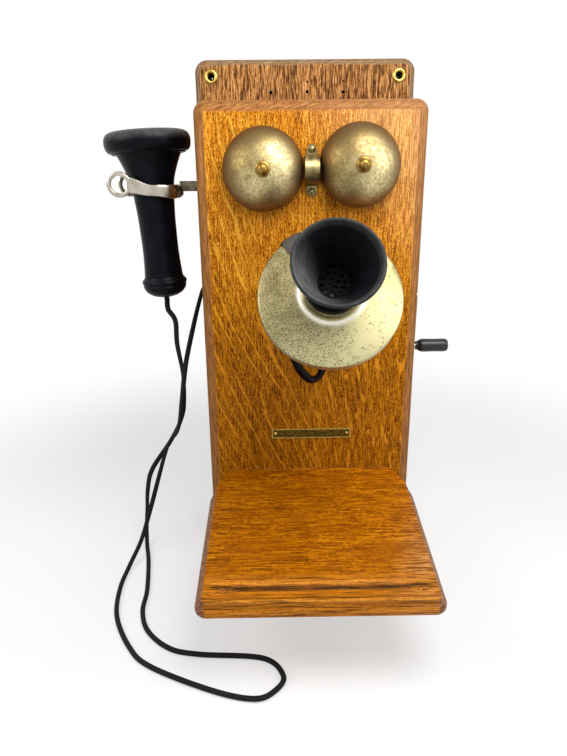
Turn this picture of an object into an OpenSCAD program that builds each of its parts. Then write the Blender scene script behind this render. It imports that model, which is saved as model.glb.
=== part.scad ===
// Magneto wall telephone. An oak case carries the hand generator, the switch hook and the
// receiver; its hinged door carries the bells, the transmitter and the writing shelf.
// Millimetres. +Z is up, the front looks towards -Y and +X is to the viewer's right.
// The origin is the centre of the backboard's bottom face, on which the telephone stands.

/* [Case] */
// Height of the case, which is also the top of the door
case_h = 442; // [438:1:450]
// Outside width of the case
case_w = 178; // [174:1:180]
// Depth of the case from backboard to door
case_d = 97.7; // [96:0.1:102]
// Thickness of the case boards
board_t = 10; // [9:0.5:11]

/* [Backboard] */
// Width of the backboard
back_w = 216; // [208:1:224]
// Thickness of the backboard
back_t = 18; // [16:1:20]
// Height of the backboard above the case
back_rise = 49; // [46:1:54]
// Corner radius of the backboard
back_r = 12; // [9:1:14]
// Width of the rounded edge of the backboard
back_bead = 5; // [3:0.5:8]
// Distance between the two wall screw holes
hang_pitch = 184; // [176:1:186]
// Height of the wall screw holes above the case
hang_rise = 33.5; // [31:0.5:35]
// Bore of the grommets in the wall screw holes
hang_bore = 6.3; // [5:0.1:7]

/* [Door] */
// Width of the door
door_w = 196; // [194:1:200]
// Thickness of the door
door_t = 17; // [15:1:19]
// Clearance under the door
door_foot = 6; // [5:1:10]
// Corner radius of the door
door_r = 10.5; // [10:0.5:12]
// Width of the rounded moulding round the door
door_bead = 8.5; // [6:0.5:9]
// Length of a hinge leaf
leaf_h = 50; // [40:1:60]
// Height of the lower hinge and depth of the upper one below the top
hinge_inset = 55; // [45:1:65]

/* [Shelf] */
// Overall width of the writing shelf
shelf_w = 191; // [186:1:194]
// Overall depth of the shelf along its slope
shelf_d = 169; // [155:1:172]
// Thickness of the shelf
shelf_t = 17; // [16:0.5:19]
// Fall of the shelf towards the front, in degrees
shelf_slope = 8.7; // [6:0.1:10]
// Height of the shelf's top face where it meets the door
shelf_z = 109; // [105:1:115]

/* [Bells] */
// Radius of a bell
bell_r = 34; // [32:0.5:34.4]
// Depth of a bell
bell_h = 24; // [21:0.5:25]
// Distance between the two bell posts
bell_pitch = 81; // [80.5:0.5:84]
// Depth of the bells' centres below the top of the door
bell_drop = 53.4; // [50:0.2:56]
// How much lower the left bell sits
bell_uneven = 2.6; // [0:0.2:4]

/* [Transmitter] */
// Radius of the transmitter's face
face_r = 55; // [50:0.5:56]
// Upward tilt of the transmitter at rest, in degrees
face_tilt = 30.8; // [26:0.2:33]
// Distance of the face's centre to the right of the middle
face_x = 10.1; // [0:0.1:12]
// Distance of the face's centre in front of the door
face_out = 88.3; // [86:0.1:92]
// Depth of the face's centre below the top of the door
face_drop = 146.1; // [144:0.1:152]
// Radius of the mouthpiece's mouth
mouth_r = 31.7; // [29:0.1:34]
// Length from the face's rim to the mouth
mouth_l = 63.7; // [58:0.1:66]

/* [Receiver] */
// Radius of the ear cap
ear_r = 38.8; // [36:0.1:40]
// Radius of the neck where it rests in the hook
neck_r = 19.6; // [18:0.1:20.5]
// Distance of the receiver's axis to the left of the middle
receiver_x = 143.5; // [141:0.5:146]
// Lean of the receiver, in degrees
receiver_lean = 3; // [0:0.5:4]
// Depth below the top of the case at which the neck rests in the hook
hook_drop = 67.5; // [62:0.5:74]

/* [Crank] */
// Depth of the crank shaft below the top of the case
crank_drop = 179; // [176:1:182]
// Length of the crank arm
crank_r = 52; // [48:1:53]
// Gear module of the drive gear and pinion
gear_m = 1.1; // [1.05:0.01:1.12]
// Radius of the crank handle
grip_r = 7; // [6:0.1:8]

/* [Cord] */
// Diameter of the receiver cord
cord_d = 4.5; // [4:0.1:4.7]

/* [Hidden] */
$fn = 64;
eps = 0.01;
run = 0.05;             // radial running clearance of shafts and pins
gap = 0.3;              // clearance between pieces that move apart

oak = "peru";
dark_oak = "saddlebrown";
nickel = "darkkhaki";
steel = "silver";
brass = "goldenrod";
iron = "dimgray";
hard_rubber = "#222428";

case_back = -back_t/2;
case_front = case_back - case_d;
door_back = case_front - gap;
door_front = door_back - door_t;
side_in = case_w/2 - board_t;
mid_y = (case_back + case_front)/2;
face_z = case_h - face_drop;
hook_z = case_h - hook_drop;
crank_z = case_h - crank_drop;

// A board in the XZ plane, standing on z = 0 with its back at y = 0, whose front edge is
// rounded all the way round and steps up onto the face.
module edge_section(r, t, bead, step) {
    difference() {
        square([r, t]);
        translate([r - bead, t - step - bead]) difference() {
            square(bead + step + 1);
            circle(bead);
        }
    }
}

module moulded_board(w, h, t, r, bead, step) {
    in_w = w - 2*r;
    in_h = h - 2*r;
    rotate([90, 0, 0]) translate([0, h/2, 0]) {
        translate([-in_w/2, -in_h/2, 0]) cube([in_w, in_h, t]);
        for (turn = [0, 180]) rotate([0, 0, turn]) {
            translate([in_w/2, in_h/2, 0]) rotate([90, 0, 0])
                linear_extrude(in_h) edge_section(r, t, bead, step);
            translate([-in_w/2, in_h/2, 0]) rotate([90, 0, 90])
                linear_extrude(in_w) edge_section(r, t, bead, step);
        }
        for (k = [0:3])
            translate([in_w/2*(k == 0 || k == 3 ? 1 : -1), in_h/2*(k < 2 ? 1 : -1), 0])
                rotate([0, 0, 90*k]) rotate_extrude(angle = 90) edge_section(r, t, bead, step);
    }
}

// Rods and holes along the three axes, from one end to the other.
module rod_x(r, x0, x1) { translate([x0, 0, 0]) rotate([0, 90, 0]) cylinder(r = r, h = x1 - x0); }
module rod_y(r, y0, y1) { translate([0, y0, 0]) rotate([-90, 0, 0]) cylinder(r = r, h = y1 - y0); }
module box(x0, x1, y0, y1, z0, z1) { translate([x0, y0, z0]) cube([x1 - x0, y1 - y0, z1 - z0]); }

// Turned shapes on an axis that points to the front (-Y) or to the right (+X).
module turned_front() { rotate([90, 0, 0]) rotate_extrude() children(); }
module turned_right() { rotate([0, 90, 0]) rotate_extrude() children(); }

// Backboard
hang_z = case_h + hang_rise;
grommet_r = 4.6;
grommet_flange = 6.2;
grommet_lip = 1.2;
old_holes = [[-34, 19, 1.6], [2, 19.5, 1.6], [37.5, 19, 1.6], [2, 28.5, 1], [37.5, 28.5, 1]];

module backboard() {
    color(oak) difference() {
        translate([0, -case_back, 0])
            moulded_board(back_w, case_h + back_rise, back_t, back_r, back_bead, 0.8);
        for (side = [-1, 1]) translate([side*hang_pitch/2, 0, hang_z])
            rod_y(grommet_r, case_back - 1, -case_back + 1);
        for (hole = old_holes) translate([hole[0], 0, case_h + hole[1]])
            rod_y(hole[2], case_back - 1, case_back + 9);
    }
}

module grommets() {
    color(brass) for (side = [-1, 1]) translate([side*hang_pitch/2, case_back, hang_z])
        turned_front() difference() {
            union() {
                translate([0, -back_t]) square([grommet_r, back_t + grommet_lip]);
                square([grommet_flange, grommet_lip]);
            }
            translate([0, -back_t - 1]) square([hang_bore/2, back_t + grommet_lip + 2]);
        }
}

// Hinges: the axis runs just outside the case, behind the overhanging edge of the door
leaf_t = 1.4;
barrel_r = 2.8;
hinge_pin_r = 1.2;
hinge_x = case_w/2 + barrel_r + 0.4;
hinge_y = (case_front + door_back)/2;
leaf_in = side_in + 1;
leaf_out = hinge_x - barrel_r - 0.4;
hinge_zs = [hinge_inset, case_h - hinge_inset];
knuckle_h = leaf_h/3;
knuckle_gap = 0.2;

module hinge_leaf(y0, y1, whole) {
    inner = knuckle_h/2 + (whole ? -knuckle_gap : knuckle_gap)/2;
    difference() {
        union() {
            box(leaf_in, leaf_out, y0, y1, -leaf_h/2, leaf_h/2);
            difference() {
                union() {
                    box(leaf_in, hinge_x, y0, y1, -leaf_h/2, leaf_h/2);
                    translate([hinge_x, hinge_y, -leaf_h/2]) cylinder(r = barrel_r, h = leaf_h);
                }
                if (whole) for (side = [-1, 1])
                    box(leaf_out, hinge_x + barrel_r + 1, hinge_y - barrel_r - 1, hinge_y + barrel_r + 1,
                        side > 0 ? inner : -leaf_h, side > 0 ? leaf_h : -inner);
                else box(leaf_out, hinge_x + barrel_r + 1, hinge_y - barrel_r - 1, hinge_y + barrel_r + 1,
                    -inner, inner);
            }
        }
        translate([hinge_x, hinge_y, -leaf_h]) cylinder(r = hinge_pin_r + run, h = 2*leaf_h);
    }
}

module hinge_leaves_case() {
    color(brass) for (z = hinge_zs) translate([0, 0, z])
        hinge_leaf(case_front, case_front + leaf_t, true);
}

module hinge_leaves_door() {
    color(brass) for (z = hinge_zs) translate([0, 0, z])
        hinge_leaf(door_back - leaf_t, door_back, false);
}

module hinge_pins() {
    color(brass) for (z = hinge_zs) translate([hinge_x, hinge_y, z]) {
        translate([0, 0, -leaf_h/2 - 1]) cylinder(r = hinge_pin_r, h = leaf_h + 2);
        for (end = [-1, 1]) translate([0, 0, end*(leaf_h/2 + 0.7) - 0.5])
            cylinder(r = 2, h = 1);
    }
}

// Case boards
lever_t = 6;
lever_h = 9;
slot_w = lever_t + 3;
slot_h = 24;
slot_rise = 3;
plate_t = 1.2;
hook_y = mid_y - 18;
cord_z = case_h - 157;
cord_gland_r = 5.5;
bush_r = 8;
crank_y = case_back - 35;

module case_side() {
    box(side_in, case_w/2, case_front, case_back, 0, case_h);
}

module case_left() {
    color(oak) difference() {
        mirror([1, 0, 0]) case_side();
        box(-case_w/2 - 1, -side_in + 1, hook_y - slot_w/2, hook_y + slot_w/2,
            hook_z + slot_rise - slot_h/2, hook_z + slot_rise + slot_h/2);
        translate([0, hook_y, cord_z]) rod_x(cord_gland_r - 1.5, -case_w/2 - 1, -side_in + 1);
    }
}

module case_right() {
    color(oak) difference() {
        case_side();
        for (z = hinge_zs)
            box(leaf_in, case_w/2 + 1, case_front - 1, case_front + leaf_t, z - leaf_h/2, z + leaf_h/2);
        translate([0, crank_y, crank_z]) rod_x(bush_r, side_in - 1, case_w/2 + 1);
    }
}

module case_top() {
    color(oak) box(-side_in, side_in, case_front, case_back, case_h - board_t, case_h);
}

module case_bottom() {
    color(oak) box(-side_in, side_in, case_front, case_back, 0, board_t);
}

module slot_plate() {
    color(nickel) difference() {
        box(-case_w/2 - plate_t, -case_w/2, hook_y - 9, hook_y + 9,
            hook_z + slot_rise - 19, hook_z + slot_rise + 19);
        box(-case_w/2 - 2, -case_w/2 + 1, hook_y - slot_w/2, hook_y + slot_w/2,
            hook_z + slot_rise - slot_h/2, hook_z + slot_rise + slot_h/2);
    }
}

module cord_bushing() {
    color(hard_rubber) translate([0, hook_y, cord_z]) difference() {
        union() {
            rod_x(cord_gland_r, -case_w/2 - 2.5, -case_w/2);
            rod_x(cord_gland_r - 1.5, -case_w/2 - eps, -side_in);
        }
        rod_x(1.6, -case_w/2 - 4, -side_in + 1);
    }
}

// Switch hook: a lever on a pin between two ears, with its contact springs underneath
pivot_x = -side_in + 17;
ear_t = 3;
hook_pin_r = 2.5;
fork_in = neck_r + gap;
fork_t = 2.8;
fork_x = -receiver_x + 5;
ring_x = -receiver_x - 25.6;
ring_rise = 2;
ring_r = 11.2;
ring_hole = 7.3;
base_drop = 4.7;
waist_drop = 3.2;
band_foot = 12.6;
band_waist = 9.6;
band_tip = 14;

module hook_bracket() {
    color(steel) translate([0, hook_y, hook_z]) {
        difference() {
            box(-side_in, -side_in + 2, -14, 14, -42, 26);
            box(-side_in - 1, -side_in + 3, -slot_w/2, slot_w/2, slot_rise - slot_h/2, slot_rise + slot_h/2);
        }
        for (side = [0, 1]) mirror([0, side, 0]) difference() {
            union() {
                box(-side_in + 2 - eps, pivot_x, lever_t/2 + 0.4, lever_t/2 + 0.4 + ear_t, -8, 8);
                translate([pivot_x, 0, 0]) rod_y(8, lever_t/2 + 0.4, lever_t/2 + 0.4 + ear_t);
            }
            translate([pivot_x, 0, 0]) rod_y(hook_pin_r, 0, 20);
        }
    }
}

module hook_pin() {
    end = lever_t/2 + 0.4 + ear_t;
    color(brass) translate([pivot_x, hook_y, hook_z]) {
        rod_y(hook_pin_r, -end - 1, end + 1);
        rod_y(4, -end - 2, -end);
    }
}

contact_zs = [-24.5, -17.5, -10.5];
contact_t = 0.6;
contact_l = 0.195*case_w;

module contact_springs() {
    color(brass) translate([0, hook_y, hook_z]) for (k = [0:2])
        box(-side_in + 2, -side_in + 2 + contact_l - 3*k, -4, 4, contact_zs[2 - k], contact_zs[2 - k] + contact_t);
}

module contact_insulators() {
    zs = concat([contact_zs[0] - 7 + contact_t], contact_zs);
    color(hard_rubber) translate([0, hook_y, hook_z]) for (k = [0:2])
        box(-side_in + 2, -side_in + 12, -7, 7, zs[k] + (k == 0 ? 0 : contact_t), zs[k + 1]);
}

// Half height and middle height of the fork's flat band along its length, from the rounded
// root over a narrow waist to the ring at the tip.
function ease(t) = t*t*(3 - 2*t);
function band_mid(u) = u < 0.5 ? -base_drop + (base_drop - waist_drop)*ease(2*u)
    : -waist_drop + (waist_drop + ring_rise)*ease(2*u - 1);
function band_half(u) = (u < 0.5 ? band_foot + (band_waist - band_foot)*ease(2*u)
    : band_waist + (band_tip - band_waist)*ease(2*u - 1))/2;

module band_side() {
    steps = 12;
    x_root = fork_x + fork_in + fork_t;
    polygon(concat(
        [for (i = [0:steps]) let (u = i/steps)
            [x_root + (ring_x + 6 - x_root)*u, band_mid(u) + band_half(u)]],
        [for (i = [steps:-1:0]) let (u = i/steps)
            [x_root + (ring_x + 6 - x_root)*u, band_mid(u) - band_half(u)]]));
}

module fork_plan() {
    difference() {
        union() {
            translate([fork_x, 0]) circle(fork_in + fork_t);
            translate([ring_x + 4, -fork_in - fork_t]) square([fork_x - ring_x - 4, 2*(fork_in + fork_t)]);
        }
        translate([fork_x, 0]) circle(fork_in);
        translate([ring_x - 20, -fork_in]) square([fork_x - ring_x + 20, 2*fork_in]);
    }
}

module hook_lever() {
    color(nickel) translate([0, hook_y, hook_z]) difference() {
        union() {
            intersection() {
                translate([0, 0, -30]) linear_extrude(60) fork_plan();
                translate([0, 60, 0]) rotate([90, 0, 0]) linear_extrude(120) band_side();
            }
            for (side = [-1, 1]) translate([ring_x, side*(fork_in + fork_t/2), ring_rise])
                rod_y(ring_r, -fork_t/2, fork_t/2);
            box(fork_x + fork_in + fork_t/2, pivot_x + 14, -lever_t/2, lever_t/2, -lever_h/2, lever_h/2);
            translate([pivot_x, 0, 0]) rod_y(lever_h/2 + 1.5, -lever_t/2, lever_t/2);
        }
        for (side = [-1, 1]) translate([ring_x, side*(fork_in + fork_t/2), ring_rise])
            rod_y(ring_hole, -fork_t, fork_t);
        translate([pivot_x, 0, 0]) rod_y(hook_pin_r + run, -lever_t, lever_t);
    }
}

// Receiver, drawn upright on its own axis with z = 0 where the neck rests in the hook
shell_top = 27;
shell_top_r = 29;
shell_foot = -93;
wall = 3;
ear_h = 20;
tail_h = 11;
seat_rise = 1.5;
tail_r = 21.2;
flare_steps = 8;

module at_receiver() {
    translate([-receiver_x, hook_y, hook_z + seat_rise]) rotate([0, -receiver_lean, 0]) children();
}

function flare_r(t) = neck_r + (shell_top_r - neck_r)*pow(t, 1.35);
function body_r(t) = neck_r - (neck_r - 17)*sin(90*t);
function foot_r(t) = 17 - 0.4*sin(180*t) + (tail_r - 2.4 - 17)*pow(t, 2.2);
function shell_outline(off) = concat(
    [for (i = [flare_steps:-1:1]) let (t = i/flare_steps) [flare_r(t) - off, shell_top*t]],
    [for (i = [0:flare_steps]) let (t = i/flare_steps) [body_r(t) - off, -40*t]],
    [for (i = [1:flare_steps]) let (t = i/flare_steps) [foot_r(t) - off, -40 + (shell_foot + 40)*t]]);

module receiver_shell() {
    color(hard_rubber) at_receiver() rotate_extrude() {
        outer = shell_outline(0);
        inner = shell_outline(wall);
        n = len(outer);
        polygon(concat(outer, [for (i = [n - 1:-1:0]) inner[i]]));
    }
}

module ear_cap() {
    seat = shell_top - 4;
    color(hard_rubber) at_receiver() rotate_extrude() difference() {
        union() {
            translate([0, shell_top]) square([ear_r - 5, ear_h]);
            translate([0, shell_top + 5]) square([ear_r, ear_h - 9.5]);
            translate([ear_r - 5, shell_top + 5]) circle(5);
            translate([ear_r - 4.5, shell_top + ear_h - 4.5]) circle(4.5);
            translate([0, seat]) square([shell_top_r + 4, 6]);
        }
        square([5, 100]);
        translate([0, seat - 1]) square([shell_top_r + 0.05, shell_top - seat + 1]);
        translate([0, seat]) square([26, 9]);
        translate([0, shell_top + ear_h]) polygon([[0, -6], [5, -6], [ear_r - 6, 0.01], [0, 1]]);
    }
}

module tail_cap() {
    top = shell_foot;
    color(hard_rubber) at_receiver() rotate_extrude() difference() {
        union() {
            translate([0, top - tail_h + 3]) square([tail_r - 2, tail_h - 3]);
            translate([tail_r - 2, top - 2]) circle(2);
            translate([tail_r - 2, top - tail_h + 5]) circle(2);
            translate([0, top - tail_h + 5]) square([tail_r, tail_h - 7]);
            translate([0, top - tail_h]) square([tail_r - 7, 4]);
            translate([tail_r - 7, top - tail_h + 5]) circle(5);
        }
        translate([0, top - tail_h - 1]) square([1.6, tail_h + 2]);
        translate([0, top - tail_h + 4]) square([13, tail_h]);
    }
}

module receiver_magnet() {
    color(iron) at_receiver() {
        for (side = [-1, 1]) {
            box(side > 0 ? 5 : -9, side > 0 ? 9 : -5, -5, 5, shell_foot + 6, shell_top - 6);
            translate([side*10, 0, 8]) cylinder(r = 8.5, h = 10);
        }
        box(-9, 9, -5, 5, shell_foot + 1, shell_foot + 7);
    }
}

// Hand generator: horseshoe magnets over an armature, driven through a gear and pinion
gear_teeth = 60;
pinion_teeth = 15;
gear_face = 6;
gear_x = 38;
axis_gap = gear_m*(gear_teeth + pinion_teeth)/2;
arm_z = crank_z - axis_gap;
gen_z = crank_z - 77;
mag_x = 32;
mag_n = 4;
mag_gap = 1;
mag_in = 20;
mag_t = 9;
mag_w = (2*mag_x - (mag_n - 1)*mag_gap)/mag_n;
arch_z = crank_z + 5;
arm_r = 14.2;
arm_bore = 14.8;
plate_x = 2.5;
shaft_r = 4;
arm_shaft_r = 3;
pressure = 20;

function inv(a) = tan(a)*180/PI - a;
function flank(r, rb) = r > rb ? inv(acos(rb/r)) : 0;
// One side of a tooth, as angles from the tooth's middle at rising radii
function tooth_radii(m, n, up, down) = let (r = m*n/2, rb = r*cos(pressure), r0 = r - down*m)
    [r0, max(rb, r0 + 0.1), (max(rb, r0 + 0.1) + r)/2, r, r + up*m/2, r + up*m];
function gear_points(m, n, up, down, slack) = let (
        r = m*n/2, rb = r*cos(pressure), rs = tooth_radii(m, n, up, down),
        half = 90/n - slack/r*180/PI/2 + inv(pressure))
    [for (k = [0:n - 1]) each concat(
        [for (q = rs) let (a = 360/n*k - half + flank(q, rb)) q*[cos(a), sin(a)]],
        [for (i = [len(rs) - 1:-1:0]) let (q = rs[i], a = 360/n*k + half - flank(q, rb)) q*[cos(a), sin(a)]])];

module along_x() { rotate([90, 0, 90]) children(); }

module generator_shelf() {
    color(oak) box(-side_in, side_in, case_front + 8, case_back, gen_z - board_t, gen_z);
}

module generator_magnets() {
    color("maroon") for (k = [0:mag_n - 1])
        translate([-mag_x + k*(mag_w + mag_gap), crank_y, 0]) along_x() linear_extrude(mag_w) {
            difference() {
                translate([0, arch_z]) circle(mag_in + mag_t);
                translate([0, arch_z]) circle(mag_in);
                translate([-mag_in - mag_t - 1, arch_z - 60]) square([2*(mag_in + mag_t + 1), 60]);
            }
            for (side = [0, 1]) mirror([side, 0])
                translate([mag_in, gen_z]) square([mag_t, arch_z - gen_z]);
        }
}

module pole_pieces() {
    color(iron) for (side = [0, 1]) translate([-mag_x, crank_y, 0]) mirror([0, side, 0])
        along_x() linear_extrude(2*mag_x) difference() {
            translate([3, gen_z]) square([mag_in - 3, arm_z + 16 - gen_z]);
            translate([0, arm_z]) circle(arm_bore);
        }
}

module generator_plates() {
    color(brass) for (side = [-1, 1])
        translate([side > 0 ? mag_x : -mag_x - plate_x, crank_y, 0]) along_x()
            linear_extrude(plate_x) difference() {
                union() {
                    translate([0, crank_z]) circle(16);
                    translate([-16, gen_z]) square([32, crank_z - gen_z]);
                    translate([-mag_in - mag_t, gen_z]) square([2*(mag_in + mag_t), 52]);
                }
                translate([0, crank_z]) circle(shaft_r + run);
                translate([0, arm_z]) circle(arm_shaft_r + run);
                for (end = [-1, 1]) translate([end*21, gen_z + 14]) circle(3.5);
            }
}

module armature() {
    reach = gear_x + gear_face + 3;
    color(iron) translate([0, crank_y, arm_z]) {
        difference() {
            rod_x(arm_r, -mag_x + 1, mag_x - 1);
            for (side = [0, 1]) mirror([0, side, 0])
                box(-mag_x + 6, mag_x - 6, 4.5, 20, -10, 10);
        }
        rod_x(arm_shaft_r, -mag_x - plate_x - 3, reach);
        translate([gear_x - 1, 0, 0]) along_x() linear_extrude(gear_face + 2)
            rotate(6) polygon(gear_points(gear_m, pinion_teeth, 1, 1.15, 0.12));
    }
}

module armature_winding() {
    color("olive") translate([0, crank_y, arm_z]) for (side = [0, 1]) mirror([0, side, 0])
        intersection() {
            box(-mag_x + 6, mag_x - 6, 4.5, 20, -10, 10);
            rod_x(arm_r - 0.8, -mag_x, mag_x);
        }
}

hub_r = 8;
arm_x = back_w/2 + 0.8;
arm_t = 4.7;
grip_x = arm_x + arm_t + 1;
grip_l = 35.1;
crank_pin_r = 2.5;
bush_flange = 2.5;

module crank_bushing() {
    color(brass) translate([0, crank_y, crank_z]) difference() {
        union() {
            rod_x(bush_r, side_in, case_w/2 + eps);
            rod_x(12, case_w/2, case_w/2 + bush_flange);
        }
        rod_x(shaft_r + run, side_in - 1, case_w/2 + 4);
    }
}

module crank_shaft() {
    color(brass) translate([0, crank_y, crank_z]) {
        rod_x(shaft_r, -mag_x - plate_x - 3, arm_x + arm_t);
        rod_x(9, gear_x - 2.5, gear_x);
        translate([gear_x, 0, 0]) along_x() linear_extrude(gear_face) difference() {
            polygon(gear_points(gear_m, gear_teeth, 0.8, 1.2, 0.12));
            for (k = [0:4]) rotate(36 + 72*k) translate([gear_m*gear_teeth/4 + 2, 0]) circle(6);
        }
    }
}

module crank_arm() {
    top_r = 8;
    low_r = 5.5;
    color(nickel) translate([0, crank_y, crank_z]) {
        difference() {
            union() {
                rod_x(hub_r, case_w/2 + bush_flange + 0.5, arm_x + arm_t);
                translate([arm_x, 0, 0]) along_x() linear_extrude(arm_t) {
                    translate([0, -crank_r]) circle(low_r);
                    polygon([[-top_r + 0.2, 0], [top_r - 0.2, 0], [low_r, -crank_r], [-low_r, -crank_r]]);
                }
            }
            rod_x(shaft_r, case_w/2, arm_x + arm_t + 1);
        }
        translate([0, 0, -crank_r]) {
            rod_x(crank_pin_r, arm_x + arm_t - eps, grip_x + grip_l - 2);
            rod_x(4.2, grip_x + grip_l - 2 - eps, grip_x + grip_l - 0.5);
        }
    }
}

module crank_handle() {
    color(hard_rubber) translate([grip_x, crank_y, crank_z - crank_r]) turned_right() difference() {
        union() {
            polygon([[0, 0.5], [4.4, 0.5], [4.6, 2.5], [grip_r, 6], [grip_r, grip_l - 2], [0, grip_l - 2]]);
            translate([0, grip_l - 4]) square([grip_r - 2, 4]);
            translate([grip_r - 2, grip_l - 2]) circle(2);
        }
        translate([0, -1]) square([crank_pin_r + run, grip_l + 2]);
        translate([0, grip_l - 2.3]) square([4.2 + run, 4]);
    }
}

// Induction coil and terminals on the backboard
coil_z = gen_z - 38;
coil_l = 84;
coil_r = 14;
cheek = 17;

module induction_winding() {
    color("darkolivegreen") translate([0, case_back - cheek, coil_z]) {
        rod_x(coil_r, -coil_l/2, coil_l/2);
        rod_x(5, -coil_l/2 - 9, coil_l/2 + 9);
    }
}

module induction_ends() {
    color(dark_oak) translate([0, case_back - cheek, coil_z]) for (side = [-1, 1]) difference() {
        box(side > 0 ? coil_l/2 : -coil_l/2 - 6, side > 0 ? coil_l/2 + 6 : -coil_l/2,
            -cheek, cheek, -cheek, cheek);
        rod_x(5, -coil_l, coil_l);
    }
}

strip_z = 72;
strip_w = 120;
strip_t = 12;
strip_n = 6;

module terminal_strip() {
    color(dark_oak) box(-strip_w/2, strip_w/2, case_back - strip_t, case_back, strip_z - 13, strip_z + 13);
}

module terminal_screws() {
    color(brass) for (k = [0:strip_n - 1])
        translate([(k - (strip_n - 1)/2)*strip_w/strip_n, case_back - strip_t, strip_z]) turned_front()
            union() {
                square([5, 1.2]);
                translate([0, 1.2]) square([2, 2]);
                translate([0, 3.2]) square([3.8, 2.6]);
            }
}

// Spring clip in the case that grips a stud on the door
catch_z = gen_z - 36;
stud_x = -side_in + 8;
stud_r = 3;
catch_gap = 0.6;

module catch_clip() {
    color(brass) translate([stud_x, 0, catch_z]) {
        box(-8, 6, case_front + 19, case_front + 20.5, -7, 7);
        box(-8, -6.5, case_front + 8, case_front + 32, -7, 7);
        for (side = [0, 1]) mirror([side, 0, 0])
            box(stud_r + catch_gap, stud_r + catch_gap + 1, case_front + 4, case_front + 19 + eps, -5, 5);
    }
}

module catch_stud() {
    color(brass) translate([stud_x, door_back, catch_z]) rotate([180, 0, 0]) turned_front() union() {
        square([5, 1.5]);
        square([1.8, 12]);
        intersection() {
            translate([0, 12]) circle(stud_r);
            square([stud_r + 1, 12 + stud_r]);
        }
    }
}

// Door
bell_zs = [case_h - bell_drop - bell_uneven/2, case_h - bell_drop + bell_uneven/2];
bell_foot = 5.5;
post_hole_r = 2.4;
guard_z = case_h - 55.8;
rod_r = 1.3;
slot_x = 9;
wire_x = face_x + 2;
wire_z = face_z - 81;
wire_d = 5;
plate_w = 44;

module door_panel() {
    color(oak) difference() {
        translate([0, door_back, door_foot])
            moulded_board(door_w, case_h - door_foot, door_t, door_r, door_bead, 1);
        for (k = [0, 1]) translate([(k*2 - 1)*bell_pitch/2, 0, bell_zs[k]])
            rod_y(post_hole_r, door_front - 1, door_front + 12);
        box(-slot_x/2, slot_x/2, door_front - 1, door_back + 1, ball_z - 4, ball_z + 4);
        translate([wire_x, 0, wire_z]) rod_y(wire_d/2 + gap, door_front - 1, door_back + 1);
        for (z = hinge_zs) {
            box(leaf_in, hinge_x, door_back - leaf_t, door_back + 1, z - leaf_h/2, z + leaf_h/2);
            translate([hinge_x, hinge_y, z - leaf_h/2 - 3]) cylinder(r = barrel_r + 0.5, h = leaf_h + 6);
        }
    }
}

// Bells: a dome on a turned post, held by a cap nut
bell_t = 1.6;
dome_r = (bell_r*bell_r + bell_h*bell_h)/(2*bell_h);
seat_cut = 0.6;
bell_top = bell_foot + bell_h - seat_cut;

module at_bells() {
    for (k = [0, 1]) translate([(k*2 - 1)*bell_pitch/2, door_front, bell_zs[k]]) children();
}

module bells() {
    color(nickel) at_bells() turned_front() difference() {
        intersection() {
            translate([0, bell_foot + bell_h - dome_r]) circle(dome_r, $fn = 128);
            translate([0, bell_foot]) square([bell_r + 1, bell_h - seat_cut]);
        }
        translate([0, bell_foot + bell_h - dome_r]) circle(dome_r - bell_t, $fn = 128);
        square([post_hole_r + 0.4, 80]);
    }
}

module bell_posts() {
    color(brass) at_bells() turned_front() union() {
        square([6, 3]);
        square([4.6, bell_foot + bell_h - bell_t - 0.35]);
        translate([0, bell_top - 6]) square([post_hole_r, 11]);
        translate([0, -8]) square([post_hole_r, 9]);
    }
}

module bell_nuts() {
    nut_h = 8.5;
    color(brass) at_bells() turned_front() difference() {
        union() {
            translate([0, bell_top]) square([6.2, 3]);
            intersection() {
                translate([0, bell_top + 3 - 1.4]) circle(6.9);
                translate([0, bell_top + 3 - eps]) square([6.2, nut_h]);
            }
        }
        translate([0, bell_top - 1]) square([post_hole_r, 6]);
    }
}

// Strap guard over the clapper ball, with a screw ear at each end
guard_r = 12.2;
guard_t = 1.2;
guard_w = 12;
guard_lift = 3;
ear_pitch = 33.6;
guard_ear_r = 4.2;
ball_z = guard_z + 0.6;
ball_r = 4.4;
ball_y = -9;

module clapper_guard() {
    color(nickel) translate([0.4, door_front, guard_z]) {
        rotate([0, 90, 0]) translate([0, 0, -guard_w/2]) linear_extrude(guard_w) difference() {
            union() {
                translate([0, -guard_lift]) circle(guard_r);
                translate([-guard_r, -guard_lift]) square([2*guard_r, guard_lift]);
            }
            translate([0, -guard_lift]) circle(guard_r - guard_t);
            translate([-guard_r + guard_t, -guard_lift]) square([2*(guard_r - guard_t), 2*guard_r]);
            translate([-guard_r - 1, 0]) square([2*guard_r + 2, guard_r + 1]);
        }
        for (side = [-1, 1]) difference() {
            union() {
                translate([0, 0, side*ear_pitch/2]) rod_y(guard_ear_r, -guard_t, 0);
                box(-guard_ear_r, guard_ear_r, -guard_t, 0,
                    side > 0 ? guard_r - guard_t : -ear_pitch/2, side > 0 ? ear_pitch/2 : guard_t - guard_r);
            }
            translate([0, 0, side*ear_pitch/2]) rod_y(1.6, -5, 5);
        }
    }
}

module guard_screws() {
    color(nickel) translate([0.4, door_front - guard_t, guard_z]) for (side = [-1, 1])
        translate([0, 0, side*ear_pitch/2]) {
            rod_y(1.5, -eps, guard_t);
            turned_front() intersection() {
                translate([0, -2.3]) circle(3.8);
                square([3.1, 2]);
            }
        }
}

tag_w = 76;
tag_h = 10;
tag_x = 0.9;
tag_z = 146.3;
tag_t = 0.8;

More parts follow.
